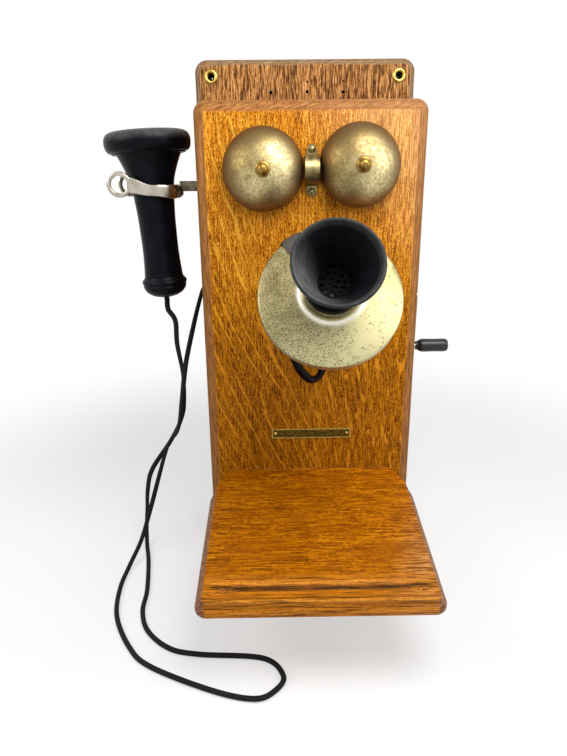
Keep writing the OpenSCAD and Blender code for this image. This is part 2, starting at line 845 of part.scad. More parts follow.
module nameplate() {
    color("darkgoldenrod") translate([tag_x, door_front, tag_z]) difference() {
        box(-tag_w/2, tag_w/2, -tag_t, 0, -tag_h/2, tag_h/2);
        box(-tag_w/2 + 1.4, tag_w/2 - 1.4, -tag_t - 1, -tag_t + 0.25, -tag_h/2 + 1.4, tag_h/2 - 1.4);
    }
}

module nameplate_pins() {
    color(brass) translate([tag_x, door_front - tag_t + 0.25, tag_z]) for (side = [-1, 1])
        translate([side*(tag_w/2 - 3.6), 0, 0]) turned_front() intersection() {
            translate([0, -0.6]) circle(1.6);
            square([2, 2]);
        }
}

// Writing shelf: the edge moulding runs round three sides and the back corners are clipped
nosing_r = 9;
shelf_inset = 4;
clip_x = 14;
clip_y = 33;
shelf_front_r = 12;

module at_shelf() {
    translate([0, door_front, shelf_z]) rotate([shelf_slope, 0, 0]) children();
}

module shelf_section(r) {
    difference() {
        square([r, shelf_t]);
        translate([r - shelf_inset, shelf_t - 4.5]) square([shelf_inset + 1, 6]);
        translate([r - shelf_inset, shelf_t - 4.5]) circle(1.5);
        translate([r - nosing_r + 1.5, nosing_r - 2]) mirror([0, 1]) difference() {
            square([nosing_r, nosing_r + 2]);
            circle(nosing_r - 1.5);
        }
    }
}

module shelf_blank() {
    in_w = shelf_w - 2*shelf_front_r;
    run_d = shelf_d - shelf_front_r;
    translate([0, 0, -shelf_t]) {
        translate([-in_w/2, -run_d, 0]) cube([in_w, run_d + 20, shelf_t]);
        for (side = [0, 1]) mirror([side, 0, 0]) {
            translate([in_w/2, 20, 0]) rotate([90, 0, 0]) linear_extrude(run_d + 20)
                shelf_section(shelf_front_r);
            translate([in_w/2, -run_d, 0]) rotate([0, 0, -90]) rotate_extrude(angle = 90)
                shelf_section(shelf_front_r);
        }
        translate([in_w/2, -run_d, 0]) rotate([90, 0, -90]) linear_extrude(in_w)
            shelf_section(shelf_front_r);
    }
}

module shelf() {
    color(oak) difference() {
        at_shelf() difference() {
            shelf_blank();
            for (side = [0, 1]) mirror([side, 0, 0]) translate([0, 0, -shelf_t - 1])
                linear_extrude(shelf_t + 2) polygon([[shelf_w/2 - 4.5 - clip_x, 25],
                    [shelf_w/2 - 4.5 - clip_x, 0], [shelf_w/2 - 4, -clip_y], [shelf_w/2 + 1, -clip_y - 5],
                    [shelf_w/2 + 20, -clip_y - 5], [shelf_w/2 + 20, 25]]);
        }
        box(-shelf_w, shelf_w, door_front, door_front + 60, 0, case_h);
    }
}

bracket_x = 62;
bracket_w = 10;
bracket_d = 78;
bracket_h = 46;

module shelf_brackets() {
    color(dark_oak) for (side = [-1, 1]) translate([side*bracket_x, 0, 0]) difference() {
        at_shelf() translate([-bracket_w/2, 0, -shelf_t]) rotate([90, 0, 90]) linear_extrude(bracket_w)
            difference() {
                translate([-bracket_d, -bracket_h]) square([bracket_d + 20, bracket_h]);
                translate([-bracket_d - 4, -bracket_h - 4]) circle(bracket_h - 5);
                translate([-bracket_d - 30, -bracket_h - 34]) square([40, 40]);
            }
        box(-20, 20, door_front, door_front + 60, 0, case_h);
    }
}

// Ringer on the back of the door: coils on a yoke, and a rocking armature above them
yoke_z = case_h - 128;
ring_y = door_back + 17;
coil_x = 19;
coil_h = 35;
coil_top = yoke_z + 6 + coil_h;
rock_z = coil_top + 6;
rock_pin_r = 1.2;
rear_y = door_back + 31;

module ringer_frame() {
    color(steel) {
        difference() {
            box(-34, 34, door_back, door_back + 2, yoke_z - 2, rock_z + 9);
            box(-9, 9, door_back - 1, door_back + 3, yoke_z + 8, coil_top - 4);
        }
        translate([0, 0, rock_z]) difference() {
            rod_y(4.5, door_back + 2 - eps, door_back + 10);
            rod_y(rock_pin_r + run, door_back, door_back + 12);
        }
        for (side = [-1, 1]) box(side > 0 ? 34 : -36, side > 0 ? 36 : -34,
            door_back, rear_y, rock_z - 5, rock_z + 5);
        difference() {
            box(-36, 36, rear_y - 2, rear_y, rock_z - 5, rock_z + 5);
            translate([0, 0, rock_z]) rod_y(rock_pin_r + run, rear_y - 4, rear_y + 2);
        }
        box(-32, 32, door_back, rear_y - 2, yoke_z, yoke_z + 6);
    }
}

module ringer_coils() {
    color("darkgreen") for (side = [-1, 1]) translate([side*coil_x, ring_y, yoke_z + 6]) {
        cylinder(r = 11.5, h = coil_h);
        cylinder(r = 13, h = 2);
        translate([0, 0, coil_h - 2]) cylinder(r = 13, h = 2);
    }
}

module ringer_magnet() {
    color(iron) {
        box(-8, 8, rear_y, rear_y + 5, yoke_z, rock_z + 12);
        box(-8, 8, rear_y - 5, rear_y, rock_z + 7, rock_z + 12);
        box(-8, 8, rear_y - 2, rear_y, yoke_z, yoke_z + 6);
    }
}

module clapper() {
    color(steel) translate([0, 0, rock_z]) {
        box(-30, 30, ring_y - 5, ring_y + 5, -2.5, 2.5);
        rod_y(rock_pin_r, door_back + 4, rear_y);
        translate([0, ring_y, 0]) cylinder(r = rod_r + 0.5, h = ball_z - rock_z + 3);
        translate([0, 0, ball_z - rock_z]) {
            rod_y(rod_r, door_front + ball_y, ring_y);
            translate([0, door_front + ball_y, 0]) sphere(ball_r);
        }
    }
}

// Transmitter, drawn on its own axis: z = 0 at the face's rim, +z out of the mouthpiece
pivot_back = 52;
lug_t = 8;
lug_r = 9;
pivot_r = 3;
cup_r = 45;
flange_t = 7;
lip_t = 1.6;
collar_r = 20.5;
collar_z = 17.5;
cone_z = 6.5;

module at_face() {
    translate([face_x, door_front - face_out, face_z]) rotate([90 - face_tilt, 0, 0]) children();
}

function at_face_point(p) = [face_x + p[0],
    door_front - face_out + p[1]*sin(face_tilt) - p[2]*cos(face_tilt),
    face_z + p[1]*cos(face_tilt) + p[2]*sin(face_tilt)];

module face_plate() {
    color(nickel) at_face() rotate_extrude($fn = 96) difference() {
        union() {
            translate([0, -9]) square([face_r, 8]);
            translate([face_r - 1, -1]) circle(1);
            polygon([[0, -1], [face_r - 1, -1], [face_r - 1, 0], [collar_r + 4, cone_z], [0, cone_z]]);
            difference() {
                translate([0, cone_z - 0.6]) square([collar_r + 4, 4.6]);
                translate([collar_r + 4, cone_z + 4]) circle(4);
            }
            translate([0, cone_z]) square([collar_r, collar_z - cone_z]);
        }
        translate([0, -10]) square([face_r - lip_t, 9]);
        polygon([[0, -1.1], [face_r - lip_t, -1.1], [face_r - lip_t - 1, -lip_t], [collar_r - 1, cone_z - lip_t], [0, cone_z - lip_t]]);
        translate([0, -2]) square([collar_r - 3.6, 40]);
    }
}

function horn_in(t) = 11.5 + (mouth_r - 2.9 - 11.5)*pow(t, 1.15);
function horn_out(t) = 17.2 + (mouth_r - 0.9 - 17.2)*pow(t, 1.5);
grille_z = 25.5;
grille_t = 2;
horn_steps = 10;
hole_rings = [[4, 3.4, 20], [10, 8.2, 8]];

module mouthpiece() {
    neck = collar_r - 3.6 - 0.05;
    root = collar_z + 2;
    color(hard_rubber) at_face() difference() {
        rotate_extrude() {
            polygon(concat(
                [[0, grille_z - grille_t], [0, grille_z]],
                [for (i = [0:horn_steps]) let (t = i/horn_steps)
                    [horn_in(t), grille_z + (mouth_l - 1 - grille_z)*t]],
                [for (a = [140:-30:-70]) [mouth_r - 1.5 + 1.5*cos(a), mouth_l - 1.5 + 1.5*sin(a)]],
                [for (i = [horn_steps:-1:0]) let (t = i/horn_steps)
                    [horn_out(t), root + (mouth_l - 3.5 - root)*t]],
                [[collar_r - 1, root], [collar_r - 1, collar_z], [neck, collar_z], [neck, cone_z + 1],
                    [neck - 4, cone_z + 1], [neck - 4, grille_z - grille_t]]));
        }
        for (ring = hole_rings) for (k = [0:ring[0] - 1]) rotate(ring[2] + 360/ring[0]*k)
            translate([ring[1], 0, grille_z - grille_t - 1]) cylinder(r = 1.25, h = grille_t + 2, $fn = 24);
    }
}

module transmitter_cup() {
    in_r = cup_r - 3;
    color(iron) at_face() difference() {
        union() {
            rotate_extrude($fn = 96) difference() {
                union() {
                    translate([0, -2 - flange_t]) square([face_r - lip_t, flange_t]);
                    translate([0, -30]) square([cup_r, 24]);
                    translate([0, -36]) square([cup_r - 8, 8]);
                    translate([cup_r - 8, -28]) circle(8);
                }
                translate([0, -32]) square([in_r, 40]);
            }
            translate([-lug_t/2, 0, -pivot_back]) rotate([0, 90, 0]) cylinder(r = lug_r, h = lug_t);
            translate([-lug_t/2, -lug_r, -pivot_back]) cube([lug_t, 2*lug_r, pivot_back - 35]);
        }
        translate([-lug_t, 0, -pivot_back]) rotate([0, 90, 0]) cylinder(r = pivot_r + run, h = 2*lug_t);
    }
}

module diaphragm() {
    color(steel) at_face() translate([0, 0, -2]) cylinder(r = face_r - lip_t - 2, h = 0.5);
}

module carbon_button() {
    color(brass) at_face() {
        translate([0, 0, -17]) cylinder(r = 16, h = 12);
        translate([0, 0, -6]) cylinder(r = 2, h = 4);
        intersection() {
            translate([-7, -cup_r, -20]) cube([14, 2*cup_r, 3]);
            translate([0, 0, -21]) cylinder(r = cup_r - 3.05, h = 6);
        }
    }
}

// Bracket on the door: a plate and a forked arm that holds the transmitter's lug
fork_side = 6;
pivot_y = door_front - face_out + pivot_back*cos(face_tilt);
pivot_z = face_z - pivot_back*sin(face_tilt);
arm_reach = door_front - 5 - pivot_y;
foot_h = 62;

module transmitter_bracket() {
    half = lug_t/2 + 0.4 + fork_side;
    color(iron) translate([face_x, 0, 0]) difference() {
        union() {
            translate([0, 0, pivot_z]) {
                box(-plate_w/2, plate_w/2, door_front - 5, door_front, -foot_h/2 + 10, foot_h/2 - 10);
                for (side = [-1, 1]) translate([side*(plate_w/2 - 10), 0, 0])
                    for (end = [-1, 1]) translate([0, 0, end*(foot_h/2 - 10)])
                        rod_y(10, door_front - 5, door_front);
                box(-plate_w/2 + 10, plate_w/2 - 10, door_front - 5, door_front, -foot_h/2, foot_h/2);
            }
            translate([-half, 0, 0]) along_x() linear_extrude(2*half) {
                translate([pivot_y, pivot_z]) circle(lug_r + 1);
                polygon([[pivot_y, pivot_z + lug_r + 1], [door_front - 4, pivot_z + 16],
                    [door_front - 4, pivot_z - 20], [pivot_y, pivot_z - lug_r - 1]]);
            }
        }
        box(-lug_t/2 - 0.4, lug_t/2 + 0.4, pivot_y - 20, pivot_y + lug_r + 2, pivot_z - 40, pivot_z + 40);
        translate([0, pivot_y, pivot_z]) rod_x(pivot_r, -half - 1, half + 1);
        for (sx = [-1, 1], sz = [-1, 1])
            translate([sx*(plate_w/2 - 7.5), 0, pivot_z + sz*(foot_h/2 - 9)]) rod_y(2, door_front - 6, door_front + 1);
    }
}

module bracket_screws() {
    color(iron) for (sx = [-1, 1], sz = [-1, 1])
        translate([face_x + sx*(plate_w/2 - 7.5), door_front - 5, pivot_z + sz*(foot_h/2 - 9)]) {
            rod_y(2, -eps, 5);
            turned_front() intersection() {
                translate([0, -3]) circle(5.2);
                square([4.2, 3]);
            }
        }
}

module pivot_bolt() {
    half = lug_t/2 + 0.4 + fork_side;
    color(steel) translate([face_x, pivot_y, pivot_z]) {
        rod_x(pivot_r, -half - 3, half + 2);
        rod_x(6, half, half + 3);
        rotate([0, -90, 0]) translate([0, 0, half]) cylinder(r = 6, h = 4, $fn = 6);
    }
}

// A tube swept along a smooth curve through hand-placed points. The tangent at each ring
// comes from its neighbours, and each ring's frame is carried on from the one before.
function unit(v) = v/norm(v);
function curve_point(p0, p1, p2, p3, t) = 0.5*(2*p1 + (p2 - p0)*t
    + (2*p0 - 5*p1 + 4*p2 - p3)*t*t + (3*p1 - p0 - 3*p2 + p3)*t*t*t);
function smooth(p, n) = let (last = len(p) - 1) [for (i = [0:last - 1], k = [0:n - 1])
    curve_point(p[max(i - 1, 0)], p[i], p[i + 1], p[min(i + 2, last)], k/n), ];
function path_of(p, n) = concat(smooth(p, n), [p[len(p) - 1]]);
function tangents(q) = let (last = len(q) - 1)
    [for (i = [0:last]) unit(q[min(i + 1, last)] - q[max(i - 1, 0)])];
function normals(ts, start) = [for (i = 0, n = unit(start - (start*ts[0])*ts[0]); i < len(ts);
    i = i + 1, n = i < len(ts) ? unit(n - (n*ts[i])*ts[i]) : n) n];

module tube(q, d, start, sides = 8) {
    ts = tangents(q);
    ns = normals(ts, start);
    last = len(q) - 1;
    points = [for (i = [0:last]) let (b = cross(ts[i], ns[i])) for (k = [0:sides - 1])
        let (a = 360/sides*(k + 0.5)) q[i] + d/2*(cos(a)*ns[i] + sin(a)*b)];
    walls = [for (i = [0:last - 1], k = [0:sides - 1]) let (
            a = i*sides + k, b = i*sides + (k + 1)%sides) each [[a, a + sides, b], [b, a + sides, b + sides]]];
    caps = [for (k = [1:sides - 2]) each [[0, k, k + 1],
        [last*sides, last*sides + k + 1, last*sides + k]]];
    polyhedron(concat(points), concat(walls, caps));
}

module receiver_cord() {
    color(hard_rubber) tube(concat([tail], path_of(cord_route, 2), [exit]), cord_d, [0, 1, 0]);
}

module transmitter_cord() {
    color(hard_rubber) tube(concat([cup_back], path_of(loop_route, 2), [wire_end]), wire_d, [1, 0, 0]);
}

lean_dir = [-sin(receiver_lean), 0, cos(receiver_lean)];
tail = [-receiver_x, hook_y, hook_z + seat_rise] + (shell_foot - tail_h)*lean_dir;
exit = [-case_w/2 - 2.5, hook_y, cord_z];
hang = (cord_z - cord_d/2)/(285 - cord_d/2);
cord_route = concat([tail - 4*lean_dir, tail - 13*lean_dir], [for (p = [
    [-131, -77, 248], [-130.5, -78.5, 225], [-126.5, -80, 195], [-126.5, -80.5, 168],
    [-130, -81, 148], [-143, -81, 122], [-166, -78, 87], [-173.5, -75, 62],
    [-176.5, -74, 36], [-178, -78, 15], [-175, -94, 4], [-168, -122, 2.4],
    [-160, -168, 2.4], [-158, -198, 2.4], [-148, -224, 2.4], [-126, -245, 2.4],
    [-100, -252.5, 2.4], [-46, -258, 2.4], [-29, -277, 2.4], [-36, -292, 2.4],
    [-52, -299, 2.4], [-86, -290, 2.4], [-138, -265, 2.4], [-160, -243, 2.4],
    [-180, -205, 2.4], [-187, -165, 2.4], [-185.5, -130, 4], [-178, -105, 17],
    [-168, -94, 48], [-147, -88.5, 115], [-134, -88, 137], [-128, -88, 168],
    [-121.5, -87, 208], [-111, -82.5, 250], [-105.4, -79.2, 269.5],
    [-102.4, -77.2, 278.5], [-99, -76.2, 283]])
    [p[0], p[1], cord_d/2 + (p[2] - cord_d/2)*hang]], [exit + [-2.5, 0, 0]]);
wire_end = [wire_x, door_front + 10, wire_z];
cup_back = at_face_point([-28, -20, -36]);
loop_route = concat([at_face_point([-28, -20, -40]), at_face_point([-28, -20, -47])], [for (p = [
    [-28.6, -45, -51.9], [-28.1, -38, -62.9], [-22.1, -34, -76.4], [-12.8, -26, -87.9],
    [-4.1, -16, -89.4]]) [face_x, door_front, face_z] + p], [[wire_x, door_front - 5, wire_z]]);

backboard();
grommets();
case_left();
case_right();
case_top();
case_bottom();
hinge_leaves_case();
hinge_pins();
slot_plate();
hook_bracket();
hook_pin();
contact_springs();
contact_insulators();
generator_shelf();
generator_magnets();
pole_pieces();
generator_plates();
crank_bushing();
induction_winding();
induction_ends();
terminal_strip();
terminal_screws();
cord_bushing();
catch_clip();
receiver_cord();
door_panel();
hinge_leaves_door();
shelf();
shelf_brackets();
bells();
bell_posts();
bell_nuts();
clapper_guard();
guard_screws();
nameplate();
nameplate_pins();
catch_stud();
ringer_frame();
ringer_coils();
ringer_magnet();
clapper();
transmitter_bracket();
bracket_screws();
pivot_bolt();
transmitter_cord();
transmitter_cup();
face_plate();
mouthpiece();
diaphragm();
carbon_button();
hook_lever();
receiver_shell();
ear_cap();
tail_cap();
receiver_magnet();
crank_shaft();
crank_arm();
crank_handle();
armature();
armature_winding();
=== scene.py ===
# %% [markdown]
# # A wall telephone in oak
#
# This lesson dresses the solid model of a magneto wall telephone so that it looks like the
# real thing: golden quarter-sawn oak, tarnished nickel, two mottled bells and black hard
# rubber. The solid model is loaded first and stays where it is. Every new piece is made
# round it, in metres, and rides on one of its bodies.

# %% Load the solid model
from math import atan2, copysign, cos, hypot, pi, radians, sin, sqrt, tan
import bpy
import bmesh
import numpy as np
from mathutils import Matrix, Vector


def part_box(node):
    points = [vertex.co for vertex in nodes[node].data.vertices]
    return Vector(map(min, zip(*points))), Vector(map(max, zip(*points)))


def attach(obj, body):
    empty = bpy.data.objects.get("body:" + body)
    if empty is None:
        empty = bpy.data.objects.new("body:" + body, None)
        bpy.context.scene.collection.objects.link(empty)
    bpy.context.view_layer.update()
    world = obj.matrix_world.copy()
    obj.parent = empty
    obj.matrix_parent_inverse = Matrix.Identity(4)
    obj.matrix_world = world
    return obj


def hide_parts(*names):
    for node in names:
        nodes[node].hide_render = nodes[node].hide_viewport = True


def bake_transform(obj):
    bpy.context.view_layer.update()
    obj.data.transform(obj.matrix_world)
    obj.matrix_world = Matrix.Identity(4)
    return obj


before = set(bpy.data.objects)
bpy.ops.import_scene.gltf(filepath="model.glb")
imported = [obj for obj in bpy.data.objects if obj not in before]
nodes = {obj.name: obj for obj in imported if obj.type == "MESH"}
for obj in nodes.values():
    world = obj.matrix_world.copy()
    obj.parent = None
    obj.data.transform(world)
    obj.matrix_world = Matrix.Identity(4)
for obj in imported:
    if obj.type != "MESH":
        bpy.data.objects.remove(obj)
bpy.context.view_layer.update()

# %% [markdown]
# ## The camera
#
# The photograph was taken from a little above the writing shelf, from close by, so the shelf
# looks wide and the backboard narrow. The camera's place and turn came from matching the
# corners of the boards. A camera looks along its own -Z, with +Y up, so its three axes are
# worked out from the turn to the side, the tilt downwards and the roll.

# %% The camera
MM = 0.001
EYE = (-29.45, -657.0, 378.2)
TURN, TILT, ROLL = 0.457, 18.229, 0.599
LENS = 28.494


def camera_matrix(eye, turn, tilt, roll):
    """Where the camera stands and how it is turned, from its three angles in degrees."""
    turn, tilt, roll = (radians(a) for a in (turn, tilt, roll))
    ahead = Vector((sin(turn)*cos(tilt), cos(turn)*cos(tilt), -sin(tilt)))
    right = Vector((cos(turn), -sin(turn), 0))
    down = ahead.cross(right)
    across = cos(roll)*right + sin(roll)*down
    below = cos(roll)*down - sin(roll)*right
    matrix = Matrix((across, -below, -ahead)).transposed().to_4x4()
    matrix.translation = Vector(eye)*MM
    return matrix


def add_object(name, data):
    """A new object at the origin that carries this data."""
    made = bpy.data.objects.new(name, data)
    bpy.context.scene.collection.objects.link(made)
    return made


camera = add_object("camera", bpy.data.cameras.new("camera"))
camera.data.lens = LENS
camera.data.clip_start = 0.01
camera.matrix_world = camera_matrix(EYE, TURN, TILT, ROLL)
bpy.context.scene.camera = camera
print("camera at", tuple(round(v, 3) for v in camera.location))

# %% [markdown]
# ## A short way to write node trees
#
# A material in Blender is a tree of nodes. Written out in full, each node takes three or four
# lines, so this helper adds a node in one line. What comes out of a node is a signal, and
# signals are added and multiplied like numbers: each sum is one more node.

# %% Signals and trees
def shade(r, g, b):
    """A colour as a paint chart gives it, 0 to 255, in the linear numbers that shaders use."""
    return tuple((c/255/12.92 if c <= 10 else ((c/255 + 0.055)/1.055)**2.4)
                 for c in (r, g, b)) + (1,)


def by_node(operation):
    """What a sign between two signals does: it adds a Math node."""
    return lambda signal, other: signal.tree.math(operation, signal, other)


class Signal:
    """What comes out of a node."""

    def __init__(self, tree, socket):
        self.tree, self.socket = tree, socket

    __add__ = by_node("ADD")
    __sub__ = by_node("SUBTRACT")
    __mul__ = by_node("MULTIPLY")
    __truediv__ = by_node("DIVIDE")
    __pow__ = by_node("POWER")

    def __rsub__(self, other):
        return self.tree.math("SUBTRACT", other, self)


class NodeTree:
    """A tree of shader or geometry nodes."""

    def __init__(self, tree, family="ShaderNode"):
        self.tree, self.family = tree, family

    def node(self, kind, settings=None, out=0, **inputs):
        """The output of a new node. Inputs go by name, or by number as in i0."""
        made = self.tree.nodes.new(self.family + kind)
        for name, value in (settings or {}).items():
            setattr(made, name, value)
        self.fill(made, inputs)
        return Signal(self, made.outputs[out]) if made.outputs else None

    def fill(self, node, inputs):
        for name, value in inputs.items():
            numbered = name[0] == "i" and name[1:].isdigit()
            self.put(value, node.inputs[int(name[1:]) if numbered else name.replace("_", " ")])

    def put(self, value, socket):
        """Joins a signal to a socket, or sets a value on it. Three numbers are a colour."""
        if isinstance(value, Signal):
            self.tree.links.new(value.socket, socket)
        elif socket.type == "RGBA" and len(value) == 3:
            socket.default_value = shade(*value)
        else:
            socket.default_value = value

    def math(self, operation, a, b=0.0):
        return self.node("Math", {"operation": operation}, i0=a, i1=b)

    def most(self, a, b):
        return self.math("MAXIMUM", a, b)

    def xyz(self, where):
        """The three coordinates of a place."""
        split = self.node("SeparateXYZ", Vector=where).socket.node
        return [Signal(self, socket) for socket in split.outputs]

    def reach(self, value, low, high, to_low=0.0, to_high=1.0):
        """Stretches the part of a value between low and high over the whole range."""
        return self.node("MapRange", {"interpolation_type": "SMOOTHSTEP"}, Value=value,
                         From_Min=low, From_Max=high, To_Min=to_low, To_Max=to_high)


print("white renders as", shade(255, 255, 255)[:3])

# %% [markdown]
# A finish is a material that is built up in layers, as a painter would: a first colour, and
# then others laid over it, each with a share that says where it covers. Patterns are laid out
# in millimetres on Object coordinates, because every piece has its place in its mesh: the
# grain then runs through the boards as through real ones.

# %% A finish in layers
class Finish(NodeTree):
    """A material with its shader and its colour so far."""

    def __init__(self, name, **sockets):
        self.material = bpy.data.materials.new(name)
        self.material.use_nodes = True
        super().__init__(self.material.node_tree)
        self.shader = self.tree.nodes["Principled BSDF"]
        self.fill(self.shader, sockets)

    def wear(self, name):
        """A value that was painted on the piece's points."""
        return self.node("Attribute", {"attribute_name": name}, "Fac")

    def place(self, scale=(1, 1, 1), turn=(0, 0, 0), shift=(0, 0, 0)):
        """Object coordinates in millimetres, shifted, turned and then stretched."""
        turned = self.node("Mapping", Vector=self.node("TexCoord", out="Object"),
                           Location=tuple(shift), Rotation=tuple(radians(a) for a in turn),
                           Scale=(1/MM, 1/MM, 1/MM))
        return self.node("Mapping", Vector=turned, Scale=tuple(scale))

    def noise(self, where, size=1.0, detail=2.0, rough=0.5, twist=0.0):
        """Clouds whose features are about as wide as size."""
        return self.node("TexNoise", Vector=where, Scale=1/size, Detail=detail, Roughness=rough,
                         Distortion=twist)

    def mix(self, share, a, b):
        """Two colours mixed. The colour sockets of a Mix node are its inputs 6 and 7."""
        return self.node("Mix", {"data_type": "RGBA"}, 2, i0=share, i6=a, i7=b)

    def tint(self, value, low, high, a, b):
        """One colour where a value is low, and another where it is high."""
        return self.mix(self.reach(value, low, high), a, b)

    def layer(self, share, colour):
        """Lays a colour over the colour so far."""
        self.colour = self.mix(share, self.colour, colour)

    def ramp(self, share, places, colours):
        """A run of colours, each with its place between 0 and 1."""
        made = self.node("ValToRGB", Fac=share)
        marks = made.socket.node.color_ramp.elements
        while len(marks) < len(places):
            marks.new(0.5)
        for mark, at, colour in zip(marks, places, colours):
            mark.position = at
            mark.color = shade(*colour)
        return made

    def bump(self, height, depth, strength):
        """Relief that is depth millimetres deep."""
        return self.node("Bump", Height=height, Distance=depth*MM, Strength=strength)

    def done(self, **sockets):
        """Joins the colour and the other patterns to the shader."""
        self.fill(self.shader, {"Base_Color": self.colour, **sockets})
        return self.material

    def worked(self, fine, smoothest, roughest, depth, strength):
        """Done, with a fine pattern for roughness and relief."""
        return self.done(Roughness=self.reach(fine, 0.3, 0.7, smoothest, roughest),
                         Normal=self.bump(fine, depth, strength))


print("a finish has", [name for name in vars(Finish) if name[0] != "_"])

# %% [markdown]
# ## The receiver cord
#
# The cord of such a telephone is a limp braided tube over tinsel wire, not quite 5 mm thick. It
# hangs from the receiver, lies in a loop on the table and climbs back into the case. It is
# made first, because its whole length has to fit in the space that the solid model keeps for
# it. Its middle line is a smooth curve through points on its way, cut into even steps.

# %% The centre line of a cord
def smooth_path(points, steps):
    """A curve through the points, with as many short steps between each two of them."""
    points = [Vector(p) for p in points]
    last = len(points) - 1
    path = []
    for i in range(last):
        p0, p1 = points[max(i - 1, 0)], points[i]
        p2, p3 = points[i + 1], points[min(i + 2, last)]
        for k in range(steps):
            t = k/steps
            path.append(0.5*(2*p1 + (p2 - p0)*t + (2*p0 - 5*p1 + 4*p2 - p3)*t*t
                             + (3*p1 - p0 - 3*p2 + p3)*t**3))
    return path + [points[last]]


def even_path(path, step):
    """The same line with its points one step apart."""
    line = np.array([tuple(p) for p in path])
    run = np.concatenate([[0], np.cumsum(np.linalg.norm(np.diff(line, axis=0), axis=1))])
    marks = np.linspace(0, run[-1], max(2, round(run[-1]/step) + 1))
    return [Vector([np.interp(m, run, line[:, k]) for k in range(3)]) for m in marks], run[-1]


def heading(line, i):
    """The way that a line runs at one of its points."""
    return (line[min(i + 1, len(line) - 1)] - line[max(i - 1, 0)]).normalized()


LEAN = radians(3)
UP_RECEIVER = Vector((-sin(LEAN), 0, cos(LEAN)))
RECEIVER = Vector((-143.5, -75.85, 376))
CORD_EXIT = Vector((-91.5, -75.85, 285))
TAIL = RECEIVER - 104*UP_RECEIVER
CORD_ROUTE = [TAIL - 4*UP_RECEIVER, TAIL - 13*UP_RECEIVER,
    (-131, -77, 248), (-130.5, -78.5, 225), (-126.5, -80, 195), (-126.5, -80.5, 168),
    (-130, -81, 148), (-143, -81, 122), (-166, -78, 87), (-173.5, -75, 62),
    (-176.5, -74, 36), (-178, -78, 15), (-175, -94, 4), (-168, -122, 2.4),
    (-160, -168, 2.4), (-158, -198, 2.4), (-148, -224, 2.4), (-126, -245, 2.4),
    (-100, -252.5, 2.4), (-46, -258, 2.4), (-29, -277, 2.4), (-36, -292, 2.4),
    (-52, -299, 2.4), (-86, -290, 2.4), (-138, -265, 2.4), (-160, -243, 2.4),
    (-180, -205, 2.4), (-187, -165, 2.4), (-185.5, -130, 4), (-178, -105, 17),
    (-168, -94, 48), (-147, -88.5, 115), (-134, -88, 137), (-128, -88, 168),
    (-121.5, -87, 208), (-111, -82.5, 250), (-105.4, -79.2, 269.5),
    (-102.4, -77.2, 278.5), (-99, -76.2, 283), CORD_EXIT - Vector((2.5, 0, 0))]
CORD_STEP = 1.1
CORD_LINE, CORD_LENGTH = even_path([TAIL] + smooth_path(CORD_ROUTE, 16) + [CORD_EXIT],
                                   CORD_STEP)
CORD_LINE.reverse()
print(f"cord: {CORD_LENGTH:.0f} mm in {len(CORD_LINE)} steps")


# %% [markdown]
# Every piece is made in the same way. Its points and faces become a mesh, whose edges stay
# crisp under smooth shading where they are sharp. Its faces are turned outwards, and it is put
# on a body of the solid model, with the nodes that it stands for.

# %% Meshes
COVERED = {"receiver_cord", "transmitter_cord"}


def smooth(mesh, sharp):
    """Smooth shading that stops at edges of more than this many degrees."""
    mesh.polygons.foreach_set("use_smooth", [True]*len(mesh.polygons))
    mesh.set_sharp_from_angle(angle=radians(sharp))


def settle(made, body, replaced=()):
    """Turns the faces of a closed piece outwards, and puts the piece on its body, with the
    nodes that it stands for."""
    shape = bmesh.new()
    shape.from_mesh(made.data)
    bmesh.ops.recalc_face_normals(shape, faces=shape.faces)
    shape.to_mesh(made.data)
    shape.free()
    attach(made, body)
    if replaced:
        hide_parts(*replaced)
        COVERED.update(replaced)


def make_object(name, points, faces, material, body=None, slot=None, replaced=(), sharp=35):
    """A mesh object from points in millimetres. With a body it is a closed piece on it."""
    mesh = bpy.data.meshes.new(name)
    mesh.from_pydata([tuple(c*MM for c in p) for p in points], [], faces)
    mesh.materials.append(material)
    smooth(mesh, sharp)
    made = add_object(name, mesh)
    if body:
        settle(made, body, replaced)
    return made


print("stood for by cords:", sorted(COVERED))

# %% [markdown]
# A curve object would do for a smooth cord. This one is a mesh tube, so that the strands of
# the braid can be pressed into its surface: its radius rises and falls with two sets of
# spirals that run against each other. Where it hangs it is a little flat, and turns slowly.

# %% A tube along a line
def tube_points(line, radius, sides, start=Vector((0, 1, 0))):
    """Rings along a line that don't twist, and the run of the line at each ring. radius is a
    function of that run and of the angle round the line."""
    points, runs, run = [], [], 0
    side = start
    for i, p in enumerate(line):
        ahead = heading(line, i)
        side = (side - side.dot(ahead)*ahead).normalized()
        other = ahead.cross(side)
        run += (p - line[i - 1]).length if i else 0
        runs.append(run)
        for k in range(sides):
            a = 2*pi*k/sides
            points.append(p + radius(run, a)*(cos(a)*side + sin(a)*other))
    return points, runs


def tube_faces(rings, sides):
    faces = [(i*sides + k, i*sides + (k + 1) % sides, (i + 1)*sides + (k + 1) % sides,
              (i + 1)*sides + k) for i in range(rings - 1) for k in range(sides)]
    last = (rings - 1)*sides
    return faces + [tuple(reversed(range(sides))), tuple(range(last, last + sides))]


def wrap_uv(mesh, sides, runs, around):
    """U counts strands round the tube and V runs along it in millimetres."""
    layer = mesh.uv_layers.new(name="along")
    for polygon in mesh.polygons:
        for loop in polygon.loop_indices:
            v = mesh.loops[loop].vertex_index
            ring, k = divmod(v, sides)
            if len(polygon.vertices) == 4 and k == 0 and any(
                    mesh.loops[j].vertex_index % sides == sides - 1 for j in polygon.loop_indices):
                k = sides
            layer.data[loop].uv = (k/sides*around, runs[ring])


print("a tube of 3 rings of 8 points has", len(tube_faces(3, 8)), "faces")

